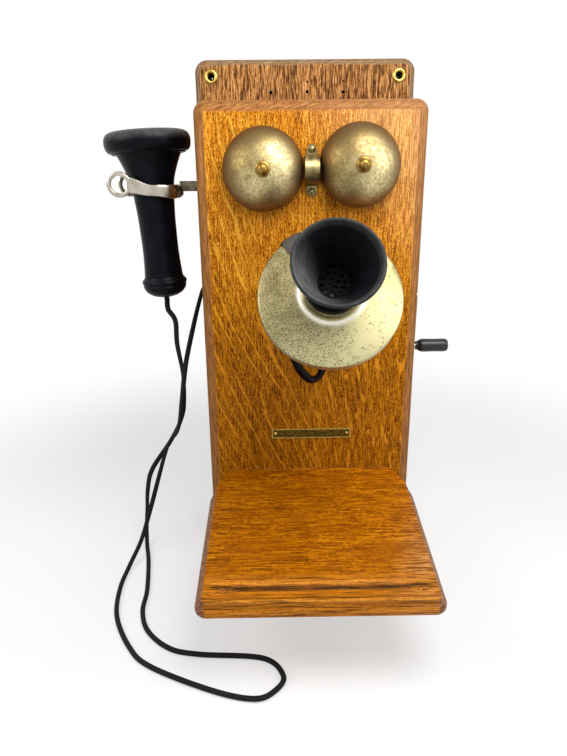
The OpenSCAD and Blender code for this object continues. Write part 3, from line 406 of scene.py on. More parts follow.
# %% [markdown]
# The braid is dull black cotton, worn to a brownish grey where it rubs. Its colour reads the
# cord's own UV map, so that the pattern follows every bend.

# %% The braid's finish
def braid_finish():
    f = Finish("braid", Roughness=0.8, Specular_IOR_Level=0.2)
    uv = f.node("TexCoord", out="UV")
    tufts = f.noise(f.node("Mapping", Vector=uv, Scale=(1.0, 0.45, 1.0)), 1, 4, 0.6)
    left, right = (f.node("TexWave", {"wave_type": "BANDS", "bands_direction": "DIAGONAL"},
                          Vector=f.node("Mapping", Vector=uv, Scale=(way, 0.5, 0)), Scale=1.2)
                   for way in (0.5, -0.5))
    weave = f.most(left, right)
    worn = f.tint(tufts, 0.35, 0.75, (12, 12, 12), (40, 36, 30))
    f.colour = f.mix(f.reach(weave, 0.2, 0.9, 0.55, 1.0), (5, 5, 5), worn)
    return f.done(Normal=f.bump(weave, 0.12, 0.8))


CORD_R, CORD_SIDES = 2.25, 14
STRAND_TURN, STRAND_DEEP = 9.6, 0.12
FLATTER, FLAT_TURN = 0.36, 55


def braid_radius(run, angle):
    """The strands cross every 3.2 mm. Off the table the cord is a little flat."""
    turn = 2*pi*run/STRAND_TURN
    cross = cos(3*angle + turn*1.5)*cos(3*angle - turn*1.5)
    spot = CORD_LINE[min(round(run/CORD_STEP), len(CORD_LINE) - 1)]
    hangs = min(max((spot.z - 12)/50, 0), 1)
    flat = FLATTER*hangs*cos(2*(angle - run/FLAT_TURN))
    return CORD_R + flat - STRAND_DEEP*(1 - cross)/2


cord_points, cord_runs = tube_points(CORD_LINE, braid_radius, CORD_SIDES)
cord = make_object("cord_braid", cord_points, tube_faces(len(CORD_LINE), CORD_SIDES),
                   braid_finish())
wrap_uv(cord.data, CORD_SIDES, cord_runs, 12)
print("cord faces:", len(cord.data.polygons))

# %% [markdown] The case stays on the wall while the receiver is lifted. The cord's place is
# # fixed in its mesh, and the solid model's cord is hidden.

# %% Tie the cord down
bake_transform(cord)
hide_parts("receiver_cord")
print("the cord follows the receiver at", tuple(round(c) for c in TAIL))

# %% [markdown]
# ## The transmitter's leads
#
# Two insulated leads lie side by side as one dark glossy cord. They hang in a short loop out
# of the back of the transmitter and go into the door. When the transmitter tilts, the loop
# takes it up.

# %% The loop under the transmitter
FACE = Vector((10.1, -212.3, 295.9))
FACE_TILT = 30.8
on_face = Matrix.Translation(FACE) @ Matrix.Rotation(radians(90 - FACE_TILT), 4, "X")
WIRE_X, WIRE_Z, DOOR_FRONT = 12.1, 214.9, -124
LOOP_ROUTE = [on_face @ Vector((-28, -20, -40)), on_face @ Vector((-28, -20, -47)),
    (-17.5, -169, 244), (-16, -162, 233), (-10.3, -157.5, 220.3), (-2, -150, 209.8),
    (6, -140, 208.2), (WIRE_X, DOOR_FRONT - 5, WIRE_Z)]
LOOP_LINE, LOOP_LENGTH = even_path(
    [on_face @ Vector((-28, -20, -36))] + smooth_path(LOOP_ROUTE, 16)
    + [Vector((WIRE_X, DOOR_FRONT + 10, WIRE_Z))], 0.8)
print(f"loop: {LOOP_LENGTH:.0f} mm")


def lead_finish():
    f = Finish("lead", Roughness=0.3, Specular_IOR_Level=0.09)
    f.colour = f.tint(f.noise(f.place(), 3, 3), 0.35, 0.7, (2, 3, 5), (12, 13, 17))
    return f.done()


def lead_radius(run, angle):
    """Two leads side by side, which turn a little on their way."""
    return 3.8 - 0.8*(1 - abs(cos(angle - 0.2 - run/70)))**0.8


LOOP_SIDES = 24
loop_points, _ = tube_points(LOOP_LINE, lead_radius, LOOP_SIDES, Vector((0, 0, 1)))
loop = make_object("transmitter_leads", loop_points, tube_faces(len(LOOP_LINE), LOOP_SIDES),
                   lead_finish())
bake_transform(loop)
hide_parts("transmitter_cord")

# %% [markdown]
# ## Floor and light
#
# The telephone was photographed on a white sweep of paper, which came out as plain white with
# faint shadows. The floor is a pale sheet that takes the object's shadow near by and fades to
# white further off, so that no horizon shows.

# %% The floor
def seen_directly(f):
    """1 for rays from the camera and for the reflections and refractions in what it sees."""
    camera_ray, glossy_ray, through = (f.node("LightPath", out=f"Is {kind} Ray")
                                       for kind in ("Camera", "Glossy", "Transmission"))
    return f.most(f.most(camera_ray, glossy_ray), through)


def paper_finish(near_glow, near, far):
    """White paper that glows where it is seen: a little near the object, and fully far off."""
    material = bpy.data.materials.new("paper")
    material.use_nodes = True
    material.node_tree.nodes.clear()
    f = NodeTree(material.node_tree)
    away = f.node("VectorMath", {"operation": "LENGTH"}, "Value",
                  i0=f.node("TexCoord", out="Object"))
    share = seen_directly(f)*f.reach(away, near, far, near_glow, 1.0)
    paper = f.node("BsdfDiffuse", Color=(0.88, 0.88, 0.87, 1))
    f.node("OutputMaterial",
           Surface=f.node("MixShader", i0=share, i1=paper, i2=f.node("Emission")))
    return material


FLOOR = 3000
CORNERS = [(x*FLOOR, y*FLOOR, 0) for x, y in ((-1, -1), (1, -1), (1, 1), (-1, 1))]
floor = make_object("floor", CORNERS, [(0, 1, 2, 3)], paper_finish(0.5, 0.26, 0.7))
print("floor:", 2*FLOOR, "mm wide")

# %% [markdown]
# The sky is white to the camera and in reflections, and gives a lower, even light to everything
# else. The bells told where the lamps stood: each bright spot on a dome is a mirror, and the
# way it sends the camera's sight is the way to a lamp. One is close by, high on the right, and
# two weaker ones stand at the sides.

# %% The sky and the lamps
def light_sky(level):
    world = bpy.data.worlds.new("studio")
    bpy.context.scene.world = world
    world.use_nodes = True
    f = NodeTree(world.node_tree)
    sky = world.node_tree.nodes["Background"].inputs
    sky["Color"].default_value = (1, 1, 1, 1)
    f.put(f.node("MapRange", Value=seen_directly(f), To_Min=level), sky["Strength"])


def soft_lamp(name, place, aim, power, width):
    data = bpy.data.lights.new(name, "AREA")
    data.shape = "DISK"
    data.size = width
    data.energy = power
    lamp = add_object(name, data)
    lamp.location = place
    lamp.rotation_euler = (Vector(aim) - Vector(place)).to_track_quat("-Z", "Y").to_euler()


light_sky(0.40)
soft_lamp("key_lamp", (0.18, -0.43, 0.80), (0.0, -0.14, 0.38), 5.0, 0.5)
soft_lamp("right_lamp", (0.66, -0.42, 0.52), (0.02, -0.14, 0.36), 1.5, 0.35)
soft_lamp("left_lamp", (-0.62, -0.36, 0.66), (0, -0.14, 0.38), 2.4, 0.45)
bpy.context.scene.view_settings.view_transform = "Standard"

# %% [markdown]
# ## Oak
#
# Golden oak is quarter-sawn, stained orange-brown and varnished. Short fibres, long fibres and
# broad bands are three clouds, each stretched along the boards. Their sum runs through four
# tones from dark to light, and fine dark pores lie over it.

# %% The oak's fibres
TONE_PLACES = (0.35, 0.46, 0.54, 0.65)


class Oak(Finish):
    """Oak with its grain along one axis. fine is how broad the fibres are, fibre how much the
    long ones show, and pored how dark the pores are."""

    def __init__(self, name, along, seed, fine, fibre, tones, pored):
        super().__init__(name, Specular_IOR_Level=0.07)
        self.along, self.seed, self.tones = along, seed, tones
        self.shift = (seed, seed*0.7, seed*1.3)
        self.short = self.grain(0.9*fine, 2.0*fine, 2, 0.6)
        self.long = self.grain(0.9*fine, 12*fine, 3, 0.6, 0.1)
        self.tone = ((self.short - 0.5)*(1.3 - fibre) + (self.long - 0.5)*(0.3 + fibre) + 0.5
                     + (self.grain(9, 130, 2) - 0.5)*0.2)
        self.pores = self.reach(self.grain(0.55*fine, 3.4*fine, 2, 0.5), 0.57, 0.66)
        self.colour = self.ramp(self.tone, TONE_PLACES, tones)
        self.layer(self.pores*pored, (60, 30, 2))

    def grain(self, width, length, detail, rough=0.55, twist=0.0):
        """A cloud that is stretched along the grain."""
        scale = [1/width]*3
        scale["XYZ".index(self.along)] = 1/length
        return self.noise(self.place(scale, shift=self.shift), 1, detail, rough, twist)


print("tones at", TONE_PLACES)

# %% [markdown]
# ### Rays
#
# On a quarter-sawn face the rays of the tree show as bright flecks across the grain. Here they
# lean: a second coordinate moves to the side with the height, most on the left. A sine wave
# over it gives lines, and clouds in the same leaning coordinate make them wander and break.
# Low on the right the rays are broad golden patches. Painted light makes the wood lighter and
# the rays brighter higher up the door, painted shade darkens its foot, and a painted highlight
# pales its top right corner.

# %% The door's rays
RAY_FOOT = 110
# Tones of the painted light higher up the door.
TOP_LIGHT_TONES = ((128, 66, 5), (186, 108, 14), (214, 134, 28), (240, 174, 62))


def add_rays(f):
    x, _, z = f.xyz(f.place())
    up = z - RAY_FOOT
    across = x + (0.54 - up*0.00062)*up*f.reach(x, -90, 90, 1.0, 0.2)

    def cloud(width, length):
        return f.noise(f.node("CombineXYZ", X=across/width, Y=f.seed, Z=up/length), 1, 2, 0.5)

    def lines(spacing, wander, wide):
        path = across + (cloud(26, 90) - 0.5)*wander
        wave = f.math("SINE", path*(2*pi/spacing))
        return f.reach(wave, 1 - wide, 1 - wide*0.3)

    long = lines(9.2, 18, 0.22)*f.reach(cloud(7, 60), 0.36, 0.52)
    hairs = lines(4.3, 13, 0.3)*f.reach(cloud(4, 16), 0.46, 0.60)
    leaning = f.most(long, hairs*0.6)*f.reach(cloud(1.3, 6), 0.36, 0.56, 0.2, 1.0)
    leaning = leaning*f.reach(x, -10, 70, 0.9, 0.25)
    leaning = leaning*f.most(f.reach(x, -66, -30, 1.0, 0.1), f.reach(up, 140, 210, 1.0, 0.0))
    patches = f.reach(cloud(4.5, 22), 0.57, 0.65)*f.reach(x, -20, 20, 0.0, 0.8)
    patches = patches*f.reach(up, 90, 190, 1.0, 0.2)
    # Painted light: higher up the door the wood is lighter.
    top_lit_wood = f.mix(f.pores*0.55, f.ramp(f.tone, TONE_PLACES, TOP_LIGHT_TONES), (106, 56, 8))
    f.layer(f.reach(up, 120, 280, 0.0, 0.85), top_lit_wood)
    # Painted light: the rays get brighter higher up.
    f.layer(f.most(leaning, patches)*f.reach(up, 180, 300, 1.0, 0.55),
            f.tint(up, 130, 290, (222, 146, 34), (250, 192, 70)))
    # Painted shade: the foot of the door is darker.
    f.layer(f.reach(up, 10, 190, 0.12, 0.0), f.tones[1])


# Painted highlight: the top right corner of the door is paler.
def paint_corner_highlight(f, share):
    x, _, z = f.xyz(f.place())
    pale = f.tint(f.long, 0.4, 0.6, (205, 150, 92), (238, 200, 150))
    f.layer(f.reach(x + z*0.8, 310, 430, 0.0, share), pale)


print("rays start", RAY_FOOT, "mm up")

# %% [markdown]
# ### Wear, painted light and mouldings
#
# The shelf is the most worn piece. Where it is rubbed, where dirt lies, and where painted light
# and shade fall on it, was put on its points as numbers: a painted highlight on the lip of the
# groove, and painted shade in the groove and on its sides. The finish only reads those values.
# The moulded edges of the boards have dark and pale streaks and a rubbed rim: how far a point
# lies inside the board's outline tells the shader where they are. The moulding across the top
# is cut from wood whose grain slants.

# %% Wear and mouldings
def wear_and_painted_light(f):
    x, y, _ = f.xyz(f.place())
    f.layer(f.reach(x - y*0.35, 140, 182, 0.0, 0.55),
            f.tint(f.long, 0.42, 0.58, (118, 74, 34), (196, 146, 92)))
    # Wear and painted highlight: paler where rubbed, most on the lip of the groove and the front
    # edge.
    f.layer(f.wear("worn")*0.75, f.tint(f.short, 0.4, 0.6, (186, 112, 30), (228, 160, 70)))
    f.layer(f.wear("front")*0.38, (214, 132, 36))
    cracks = f.reach(f.grain(0.8, 30, 3, 0.6, 0.15), 0.53, 0.59, 0.0, 0.85)
    f.layer(cracks*f.wear("front"), (70, 36, 8))
    # Dirt and painted shade: darker on the groove's steep wall and along a line near the front
    # edge.
    f.layer(f.wear("darkening")*f.reach(f.long, 0.36, 0.56, 0.55, 0.95), (50, 27, 5))
    # Painted shade: a greyish tone on the moulded sides; along the back edge it makes a greyish
    # line.
    f.layer(f.wear("side")*0.75, f.tint(f.long, 0.4, 0.6, (92, 62, 44), (140, 108, 86)))


def inside_outline(f, width, low, high, corner, middle=0.0):
    """How far inside a rounded rectangle a point lies, seen from the front, in millimetres."""
    x, _, z = f.xyz(f.place(shift=(-middle, 0, -(low + high)/2)))
    x = f.math("ABSOLUTE", x) - (width/2 - corner)
    z = f.math("ABSOLUTE", z) - ((high - low)/2 - corner)
    past_x, past_z = f.most(x, 0.0), f.most(z, 0.0)
    flat_part = f.math("MINIMUM", f.most(x, z), 0.0)
    return corner - ((past_x*past_x + past_z*past_z)**0.5 + flat_part)


def add_moulding(f, stain, outline, edge, tones):
    """A moulding as broad as edge round an outline, with a dark, a pale and a rim tone."""
    dark, pale, rim = tones
    inset = inside_outline(f, *outline)
    _, _, z = f.xyz(f.place())
    along = f.reach(f.grain(0.8, 16, 4, 0.65, 0.3), 0.38, 0.62)
    slanting = f.noise(f.place((1/14, 1/2, 1/1.1), (0, 20, 0)), 1, 3, 0.6)
    top = outline[2] - edge
    line = f.tint(z, top - 1, top + 1, along, f.reach(slanting, 0.36, 0.64))
    rubbed = f.mix(f.reach(inset, edge*0.15, edge*0.7, 0.45, 0.0), f.mix(line, dark, pale), rim)
    f.layer(f.reach(inset, edge - 0.3, edge + 0.3, 1.0, 0.0)*0.85, rubbed)
    arris = f.reach(inset, edge - 0.2, edge + 0.3)*f.reach(inset, edge + 0.5, edge + 1.5, 1.0, 0.0)
    f.layer(arris*f.reach(stain, 0.4, 0.6, 0.15, 0.6), pale)


print("painted wear:", ("worn", "front", "darkening", "side"))

# %% [markdown]
# ### The boards' own finishes
#
# Each board gets its own grain direction and seed. The numbers after the seed are how broad
# its fibres are and how much the long ones show.

# %% Six kinds of oak
def oak_finish(name, along, seed, fine, fibre, tones, mottled=0.35, shelf=False, door=False,
               moulding=None):
    """Oak in the order of its layers: growth, rays with painted light higher up and a painted
    highlight in the top right corner, stain in patches, wear with painted light and shade,
    moulded edge."""
    f = Oak("oak_" + name, along, seed, fine, fibre, tones, 0.3 if shelf else 0.42)
    if door:
        add_rays(f)
        paint_corner_highlight(f, 0.45)
    patch = (1/34, 1/60, 1/60) if along == "Z" else (1/46, 1/16, 1/16)
    stain = f.noise(f.place(patch, shift=f.shift), 1, 3, 0.6)
    f.layer(f.reach(stain, 0.42, 0.66, 0.0, mottled), tones[1] if shelf else tones[0])
    if shelf:
        wear_and_painted_light(f)
    if moulding:
        add_moulding(f, stain, *moulding)
    return f.done(Roughness=f.reach(f.short, 0.3, 0.7, 0.55, 0.42),
                  Normal=f.bump(f.short - f.pores, 0.10, 0.6))


# width, foot, top and corner radius, then how broad the moulding is, then its tones
DOOR_EDGE = ((196, 6, 442, 10.5), 8.5, ((110, 68, 34), (170, 118, 72), (84, 48, 18)))
BOARD_EDGE = ((216, 0, 491, 12), 5, ((104, 82, 58), (150, 122, 92), (88, 68, 50)))
GOLDEN = ((80, 40, 1), (134, 74, 1), (172, 102, 4), (206, 136, 20))
DEEP = ((60, 34, 14), (116, 72, 30), (164, 110, 56), (202, 150, 92))
ORANGE = ((112, 58, 1), (144, 78, 1), (172, 98, 2), (194, 122, 8))
OAK = {
    "door": oak_finish("door", "Z", 3, 1.1, 0.55, GOLDEN, 0.08, door=True, moulding=DOOR_EDGE),
    "board": oak_finish("board", "Z", 31, 0.85, 1.1, DEEP, 0.15, moulding=BOARD_EDGE),
    "side": oak_finish("side", "Z", 57, 1.4, 0.5, GOLDEN),
    "shelf": oak_finish("shelf", "X", 83, 1.7, 0.7, ORANGE, 0.6, shelf=True),
    "rail": oak_finish("rail", "X", 11, 1.4, 0.5, GOLDEN),
    "bracket": oak_finish("bracket", "Y", 23, 1.4, 0.5, GOLDEN),
}
print("oak finishes:", sorted(OAK))

# %% [markdown]
# ## Metals and rubber
#
# A century of hands and damp has left its marks: the nickel is yellowed and pitted. Each metal
# is a cloud between a bright and a dull colour, and a finer cloud changes its roughness. Pits
# are the cores of scattered cells, and another cloud gathers them in patches.

# %% Metals
def pits(f, spacing, size, crowd=None):
    """Small round spots, about spacing apart: 1 in a pit and 0 outside."""
    cells = f.node("TexVoronoi", Vector=f.place(), Scale=1/spacing)
    if crowd is None:
        crowd = f.reach(f.noise(f.place(), spacing*2.3, 2), 0.46, 0.56)
    return f.reach(cells, size*0.5, size, 1.0, 0.0)*crowd


def metal_finish(name, bright, dull, rough, size, pitted=0.0, metal=1.0, spread=0.5, darkening=0.2):
    f = Finish(name, Metallic=metal)
    cloud = f.noise(f.place(), size, 4, 0.55, 0.2)
    fine = f.noise(f.place(), size/8, 4, 0.6)
    f.colour = f.tint(cloud, 0.5 - spread/2, 0.5 + spread/2, bright, dull)
    f.layer(f.reach(fine, 0.45, 0.75, 0.0, darkening), dull)
    if pitted:
        f.layer(pits(f, 2.4, 0.30)*pitted, (44, 36, 22))
    return f.worked(fine, rough - 0.05, rough + 0.08, 0.015, 0.4)


# bright, dull, roughness, size of the clouds, pits, metal, spread of the clouds, grime
METAL = {name: metal_finish(name, *how) for name, how in {
    "plain_nickel": ((202, 196, 182), (140, 128, 110), 0.26, 15, 0.0, 1.0, 0.5, 0.06),
    # darker nickel, painted shade on the hook
    "dull_nickel": ((132, 124, 104), (70, 56, 42), 0.38, 7, 0.0, 1.0, 0.4, 0.3),
    "guard_nickel": ((164, 150, 104), (96, 80, 48), 0.34, 7, 0.3),
    "brass": ((226, 200, 110), (170, 138, 66), 0.3, 5, 0.2),
    "nut_brass": ((160, 128, 62), (116, 88, 38), 0.34, 5, 0.3),
    "steel": ((180, 182, 186), (116, 116, 118), 0.35, 5, 0.2),
    "black_iron": ((46, 44, 42), (24, 22, 20), 0.5, 7, 0.0, 0.3),
    "magnet_red": ((120, 26, 18), (70, 18, 14), 0.45, 9, 0.2, 0.1),
    "lug_metal": ((66, 58, 48), (40, 34, 28), 0.55, 6, 0.2, 0.2),
}.items()}
print("metals:", sorted(METAL))

# %% [markdown]
# Hard rubber is black and glossy when it is new. Light and hands give it a bluish grey sheen.
# Where painted numbers say so, a grey bloom in streaks covers it: dust, and painted sheen on
# the sides that face the light.

# %% Rubber
def rubber_finish(name, dark=(2, 3, 7), pale=(8, 12, 19), rough=0.34, dusty=0.4, sheen=0.09,
                  bloom_and_sheen=False):
    """Hard rubber. Where dust and painted sheen are marked on its points, it has a grey bloom in
    streaks.
    """
    f = Finish(name, Specular_IOR_Level=sheen)
    fine = f.noise(f.place(), 0.9, 4, 0.6)
    f.colour = f.tint(f.noise(f.place(), 14, 4, 0.6), 0.3, 0.75, dark, pale)
    f.layer(pits(f, 7.5, 0.06, 1.0)*dusty, (90, 92, 92))
    if bloom_and_sheen:
        streaks = f.noise(f.place((1.0, 1.6, 0.5), (0, 25, 0)), 6, 4, 0.55, 0.3)
        # Streaks of dust and painted sheen where the points say so.
        f.layer(f.reach(streaks, 0.3, 0.75, 0.5, 1.0)*f.wear("dust"), (104, 106, 102))
    return f.worked(fine, rough - 0.08, rough + 0.12, 0.02, 0.4)


RUBBER = rubber_finish("hard_rubber")
HORN = rubber_finish("horn_rubber", bloom_and_sheen=True)
GRIP = rubber_finish("grip_rubber", (10, 10, 11), (34, 35, 36), 0.3, sheen=0.4)
GRILLE = rubber_finish("grille_rubber", (4, 3, 2), (20, 16, 12), 0.6, 0.2, 0.04)
print("rubber:", [m.name for m in (RUBBER, HORN, GRIP, GRILLE)])

# %% [markdown]
# The bells and the transmitter's face show their history best, so each has a finish of its
# own. Both bells share one: the modulo of X gives each of them the same coordinate from its own
# middle. On the face the height along its own axis tells the flat cone from the hollow round
# the collar, which gets a painted highlight, and from the collar itself, which gets a painted
# dark reflection.

# %% Bells and face
BELL_GAP, BELL_HEIGHT = 81, 388.5


def bell_finish():
    """Nickel worn through to bronze, painted lighter towards the lower right and darker to the
    left, with a painted dark reflection towards the rim, a soft mottle and fine dark freckles."""
    f = Finish("bell_metal", Metallic=1.0)
    x, _, z = f.xyz(f.place())
    beside = f.math("MODULO", x + BELL_GAP, BELL_GAP) - BELL_GAP/2
    above = z - BELL_HEIGHT
    out = (beside*beside + above*above)**0.5
    cloud = f.noise(f.place(), 13, 4, 0.55, 0.3)
    mottle = f.noise(f.place(), 2.6, 4, 0.6)
    # Painted light: each bell is brighter towards its lower right and darker towards its upper
    # left.
    f.colour = f.tint(beside - above + cloud*50, 0, 42, (142, 122, 78), (222, 206, 154))
    # Painted dark reflection: the rim and the outer dome are darker.
    f.layer(f.reach(out + cloud*10, 20, 39, 0.0, 0.85), (104, 78, 46))
    f.layer(f.reach(mottle, 0.40, 0.62, 0.0, 0.42), (108, 88, 50))
    crowd = f.reach(f.noise(f.place(), 9, 3, 0.6), 0.44, 0.58)
    f.layer(pits(f, 1.5, 0.36, crowd)*0.7, (62, 50, 30))
    return f.done(Roughness=f.reach(mottle, 0.35, 0.65, 0.42, 0.56),
                  Normal=f.bump(mottle, 0.015, 0.4))


def face_finish():
    """Yellowed nickel, with black pits that crowd towards the left of the face. A painted
    highlight brightens its lower right and the hollow round the collar, and a painted dark
    reflection darkens the collar.
    """
    f = Finish("nickel_face", Metallic=0.9)
    here = f.place(shift=tuple(-c for c in FACE))
    cloud, fine = f.noise(here, 16, 5, 0.6), f.noise(here, 1.4, 5, 0.7)
    x, y, z = f.xyz(here)
    out = z*sin(radians(FACE_TILT)) - y*cos(radians(FACE_TILT))
    f.colour = f.tint(cloud, 0.34, 0.66, (158, 148, 106), (128, 118, 80))
    # Painted highlight: the face is brighter towards its lower right.
    f.layer(f.reach(x*0.35 - z + cloud*14, 4, 46), (196, 188, 142))
    sparse = f.reach(x + z*0.2, -48, 40, 0.36, 0.60)
    small = pits(f, 1.2, 0.5, f.reach(f.noise(here, 5.5, 4, 0.7) - sparse, -0.02, 0.04))
    holes = f.most(small, pits(f, 5.2, 0.17, f.reach(cloud, 0.42, 0.5)))
    f.layer(holes*0.8, (50, 42, 24))
    f.layer(f.reach(f.noise(here, 7, 4, 0.7), 0.56, 0.7)*0.4, (150, 120, 62))
    # Painted highlight: a bright ring in the hollow round the collar.
    f.layer(f.reach(out, 6.2, 7.4)*f.reach(out, 9.5, 12.5, 0.8, 0.0), (238, 234, 218))
    # Painted dark reflection on the collar itself.
    f.layer(f.reach(out, 11, 14.5, 0.0, 0.8), f.tint(cloud, 0.4, 0.6, (96, 88, 66), (54, 46, 32)))
    gloss = f.reach(fine, 0.3, 0.7, 0.36, 0.5)*f.reach(out, 6.6, 8.6, 1.0, 0.35)
    return f.done(Roughness=gloss, Normal=f.bump(fine - holes, 0.04, 0.5))


BELL, FACE_NICKEL = bell_finish(), face_finish()
print("bells and face:", BELL.name, FACE_NICKEL.name)

# %% [markdown]
# The coils inside are fine wire under green silk. Spheres round the frame's origin cut all of
# them in close ribs, whichever way they lie, so one finish will do. The plate on the door is
# bare brass: the outline helper of the mouldings tells its border from its field.

# %% Coils and plate
def winding_finish():
    """Coils of fine wire in green silk, which show as close fine ribs."""
    f = Finish("winding", Roughness=0.55)
    ribs = f.node("TexWave", {"wave_type": "RINGS", "rings_direction": "SPHERICAL"},
                  Vector=f.place((0.4, 0.4, 0.4)), Scale=1.5)
    f.colour = f.mix(ribs, (24, 52, 36), (46, 86, 58))
    return f.done(Normal=f.bump(ribs, 0.1, 0.6))


def plate_finish():
    """A bare plate: a sunk field gone dark olive, and a border rubbed bright."""
    f = Finish("plate_brass", Metallic=0.9)
    mottle = f.noise(f.place((0.5, 1, 1)), 1.6, 5, 0.7)
    f.colour = f.tint(inside_outline(f, 76, 141.3, 151.3, 0.3, 0.9), 1.0, 1.5,
                      f.tint(mottle, 0.4, 0.65, (206, 182, 92), (140, 112, 48)),
                      f.tint(mottle, 0.38, 0.62, (64, 52, 14), (112, 94, 34)))
    return f.worked(mottle, 0.34, 0.5, 0.03, 0.5)


WINDING, PLATE = winding_finish(), plate_finish()
print("materials so far:", len(bpy.data.materials))

# %% [markdown]
# ## Turned pieces
#
# Bells, nuts, the transmitter's face, the mouthpiece, the receiver and the crank handle are
# all turned work, so each is an outline spun about an axis. Blender's Screw modifier could do
# it; writing the rings out keeps the two ends of an outline that touch the axis as single
# points, which closes the poles. A turner breaks every sharp edge, so a helper rounds the
# corners of an outline first: a corner may name its own radius as a third number.

# %% Outlines and turning
def soften(outline, radius=0.4, steps=4):
    """Rounds the corners of a closed outline of (radius, height) or (radius, height, softness)."""
    corners = [(Vector((p[0], p[1])), p[2] if len(p) > 2 else radius) for p in outline]
    made = []
    for i, (here, soft) in enumerate(corners):
        before, after = corners[i - 1][0], corners[(i + 1) % len(corners)][0]
        back, ahead = before - here, after - here
        reach = min(soft, back.length*0.49, ahead.length*0.49)
        if here.x < 1e-6 or reach < 0.01 or back.angle(ahead, pi) > radians(172):
            made.append(tuple(here))
            continue
        start, end = here + back.normalized()*reach, here + ahead.normalized()*reach
        for k in range(steps + 1):
            t = k/steps
            made.append(tuple(start*(1 - t)**2 + here*2*t*(1 - t) + end*t**2))
    return made


def turned(outline, place, sides=96):
    """Points and faces of an outline turned about the local Z axis."""
    points, rows, faces = [], [], []
    for r, z in outline:
        if r < 1e-6:
            rows.append([len(points)]*sides)
            points.append(place @ Vector((0, 0, z)))
            continue
        rows.append(list(range(len(points), len(points) + sides)))
        points += [place @ Vector((r*cos(a), r*sin(a), z))
                   for a in (2*pi*k/sides for k in range(sides))]
    for a, b in zip(rows, rows[1:] + rows[:1]):
        for k in range(sides):
            face = tuple(dict.fromkeys((a[k], a[(k + 1) % sides], b[(k + 1) % sides], b[k])))
            if len(face) > 2:
                faces.append(face)
    return points, faces


def softly_turned(outline, softness, place, sides):
    """Turned work from an outline whose corners are softened first."""
    return turned(soften(outline, *softness), place, sides)


def gather(*parts):
    """Several sets of points and faces as one."""
    points, faces = [], []
    for more, ring in parts:
        faces += [tuple(i + len(points) for i in face) for face in ring]
        points += more
    return points, faces


def front_place(x, z, y=DOOR_FRONT):
    """A place whose local Z points out of the door towards the viewer."""
    return Matrix.Translation((x, y, z)) @ Matrix.Rotation(radians(90), 4, "X")


print("a softened square has", len(soften([(1, 0), (9, 0), (9, 8), (1, 8)])), "points")

# %% [markdown]
# ### The bells
#
# Each bell is a shallow dome of spun metal with its rim turned over, held on its post by an
# acorn nut. The left one sits a little lower. No two spots of a spun dome are quite round, so
# a slow ripple of a tenth of a millimetre makes the reflections wander as they do in the
# photograph.

# %% Bells and nuts
BELLS = ((-40.5, 387.3), (40.5, 389.9))
BELL_R, BELL_DEEP, BELL_WALL, BELL_FOOT = 34, 24, 1.6, 5.5
DOME_R = (BELL_R**2 + BELL_DEEP**2)/(2*BELL_DEEP)
BELL_TOP = BELL_FOOT + BELL_DEEP - 0.6


def dome(r, radius):
    return BELL_FOOT + BELL_DEEP - DOME_R + sqrt(radius**2 - r*r)


def bell_outline():
    steps = 26
    out = [(3.0, BELL_TOP)]
    for k in range(steps + 1):
        r = 5.5 + (BELL_R - 5.5)*sin(pi/2*k/steps)
        out.append((r, min(dome(r, DOME_R), BELL_TOP)))
    inner = DOME_R - BELL_WALL
    back = [(r, dome(r, inner)) for r in
            (3.0 + (BELL_R - BELL_WALL - 3.1)*sin(pi/2*k/steps)
             for k in range(steps, -1, -1))]
    return out + [(BELL_R, BELL_FOOT, 0.3), (BELL_R - 1.5, BELL_FOOT, 0.3)] + back


def ripple(points, centre, height):
    """A slow unevenness, the same on every run."""
    made = []
    for p in points:
        away = (p - centre).normalized()
        swell = (sin(9*away.x + 2.1) * cos(7*away.z + 0.4)
                 + 0.6*sin(17*away.x + 13*away.z))
        made.append(p + away*height*swell)
    return made


bell_parts, nut_parts = [], []
NUT = [(2.5, 0), (6.2, 0), (6.2, 1.3, 0.5), (5.0, 1.9), (4.5, 2.4), (4.5, 4.8, 0.8),
       (3.9, 6.9, 1.5), (2.2, 8.2, 1.2), (0, 8.5), (0, 6.0), (2.5, 6.0)]
for x, z in BELLS:
    points, faces = softly_turned(bell_outline(), (0.25, 2), front_place(x, z), 128)
    bell_parts.append((ripple(points, Vector((x, DOOR_FRONT + 7, z)), 0.05), faces))
    nut_parts.append(softly_turned(NUT, (), front_place(x, z, DOOR_FRONT - BELL_TOP), 40))
bells = make_object("bell_pair", *gather(*bell_parts), BELL, "door", "bell_metal", ["bells"], 50)
make_object("acorn_nuts", *gather(*nut_parts), METAL["nut_brass"], "door", "brass",
            ["bell_nuts"])
print("bell faces:", len(bells.data.polygons))

# %% [markdown]
# ### The transmitter's face and mouthpiece
#
# The face is a spun nickel cap: a rolled rim, a very flat cone and a collar into which the
# mouthpiece screws. The mouthpiece is a horn of hard rubber with a thin rounded lip.

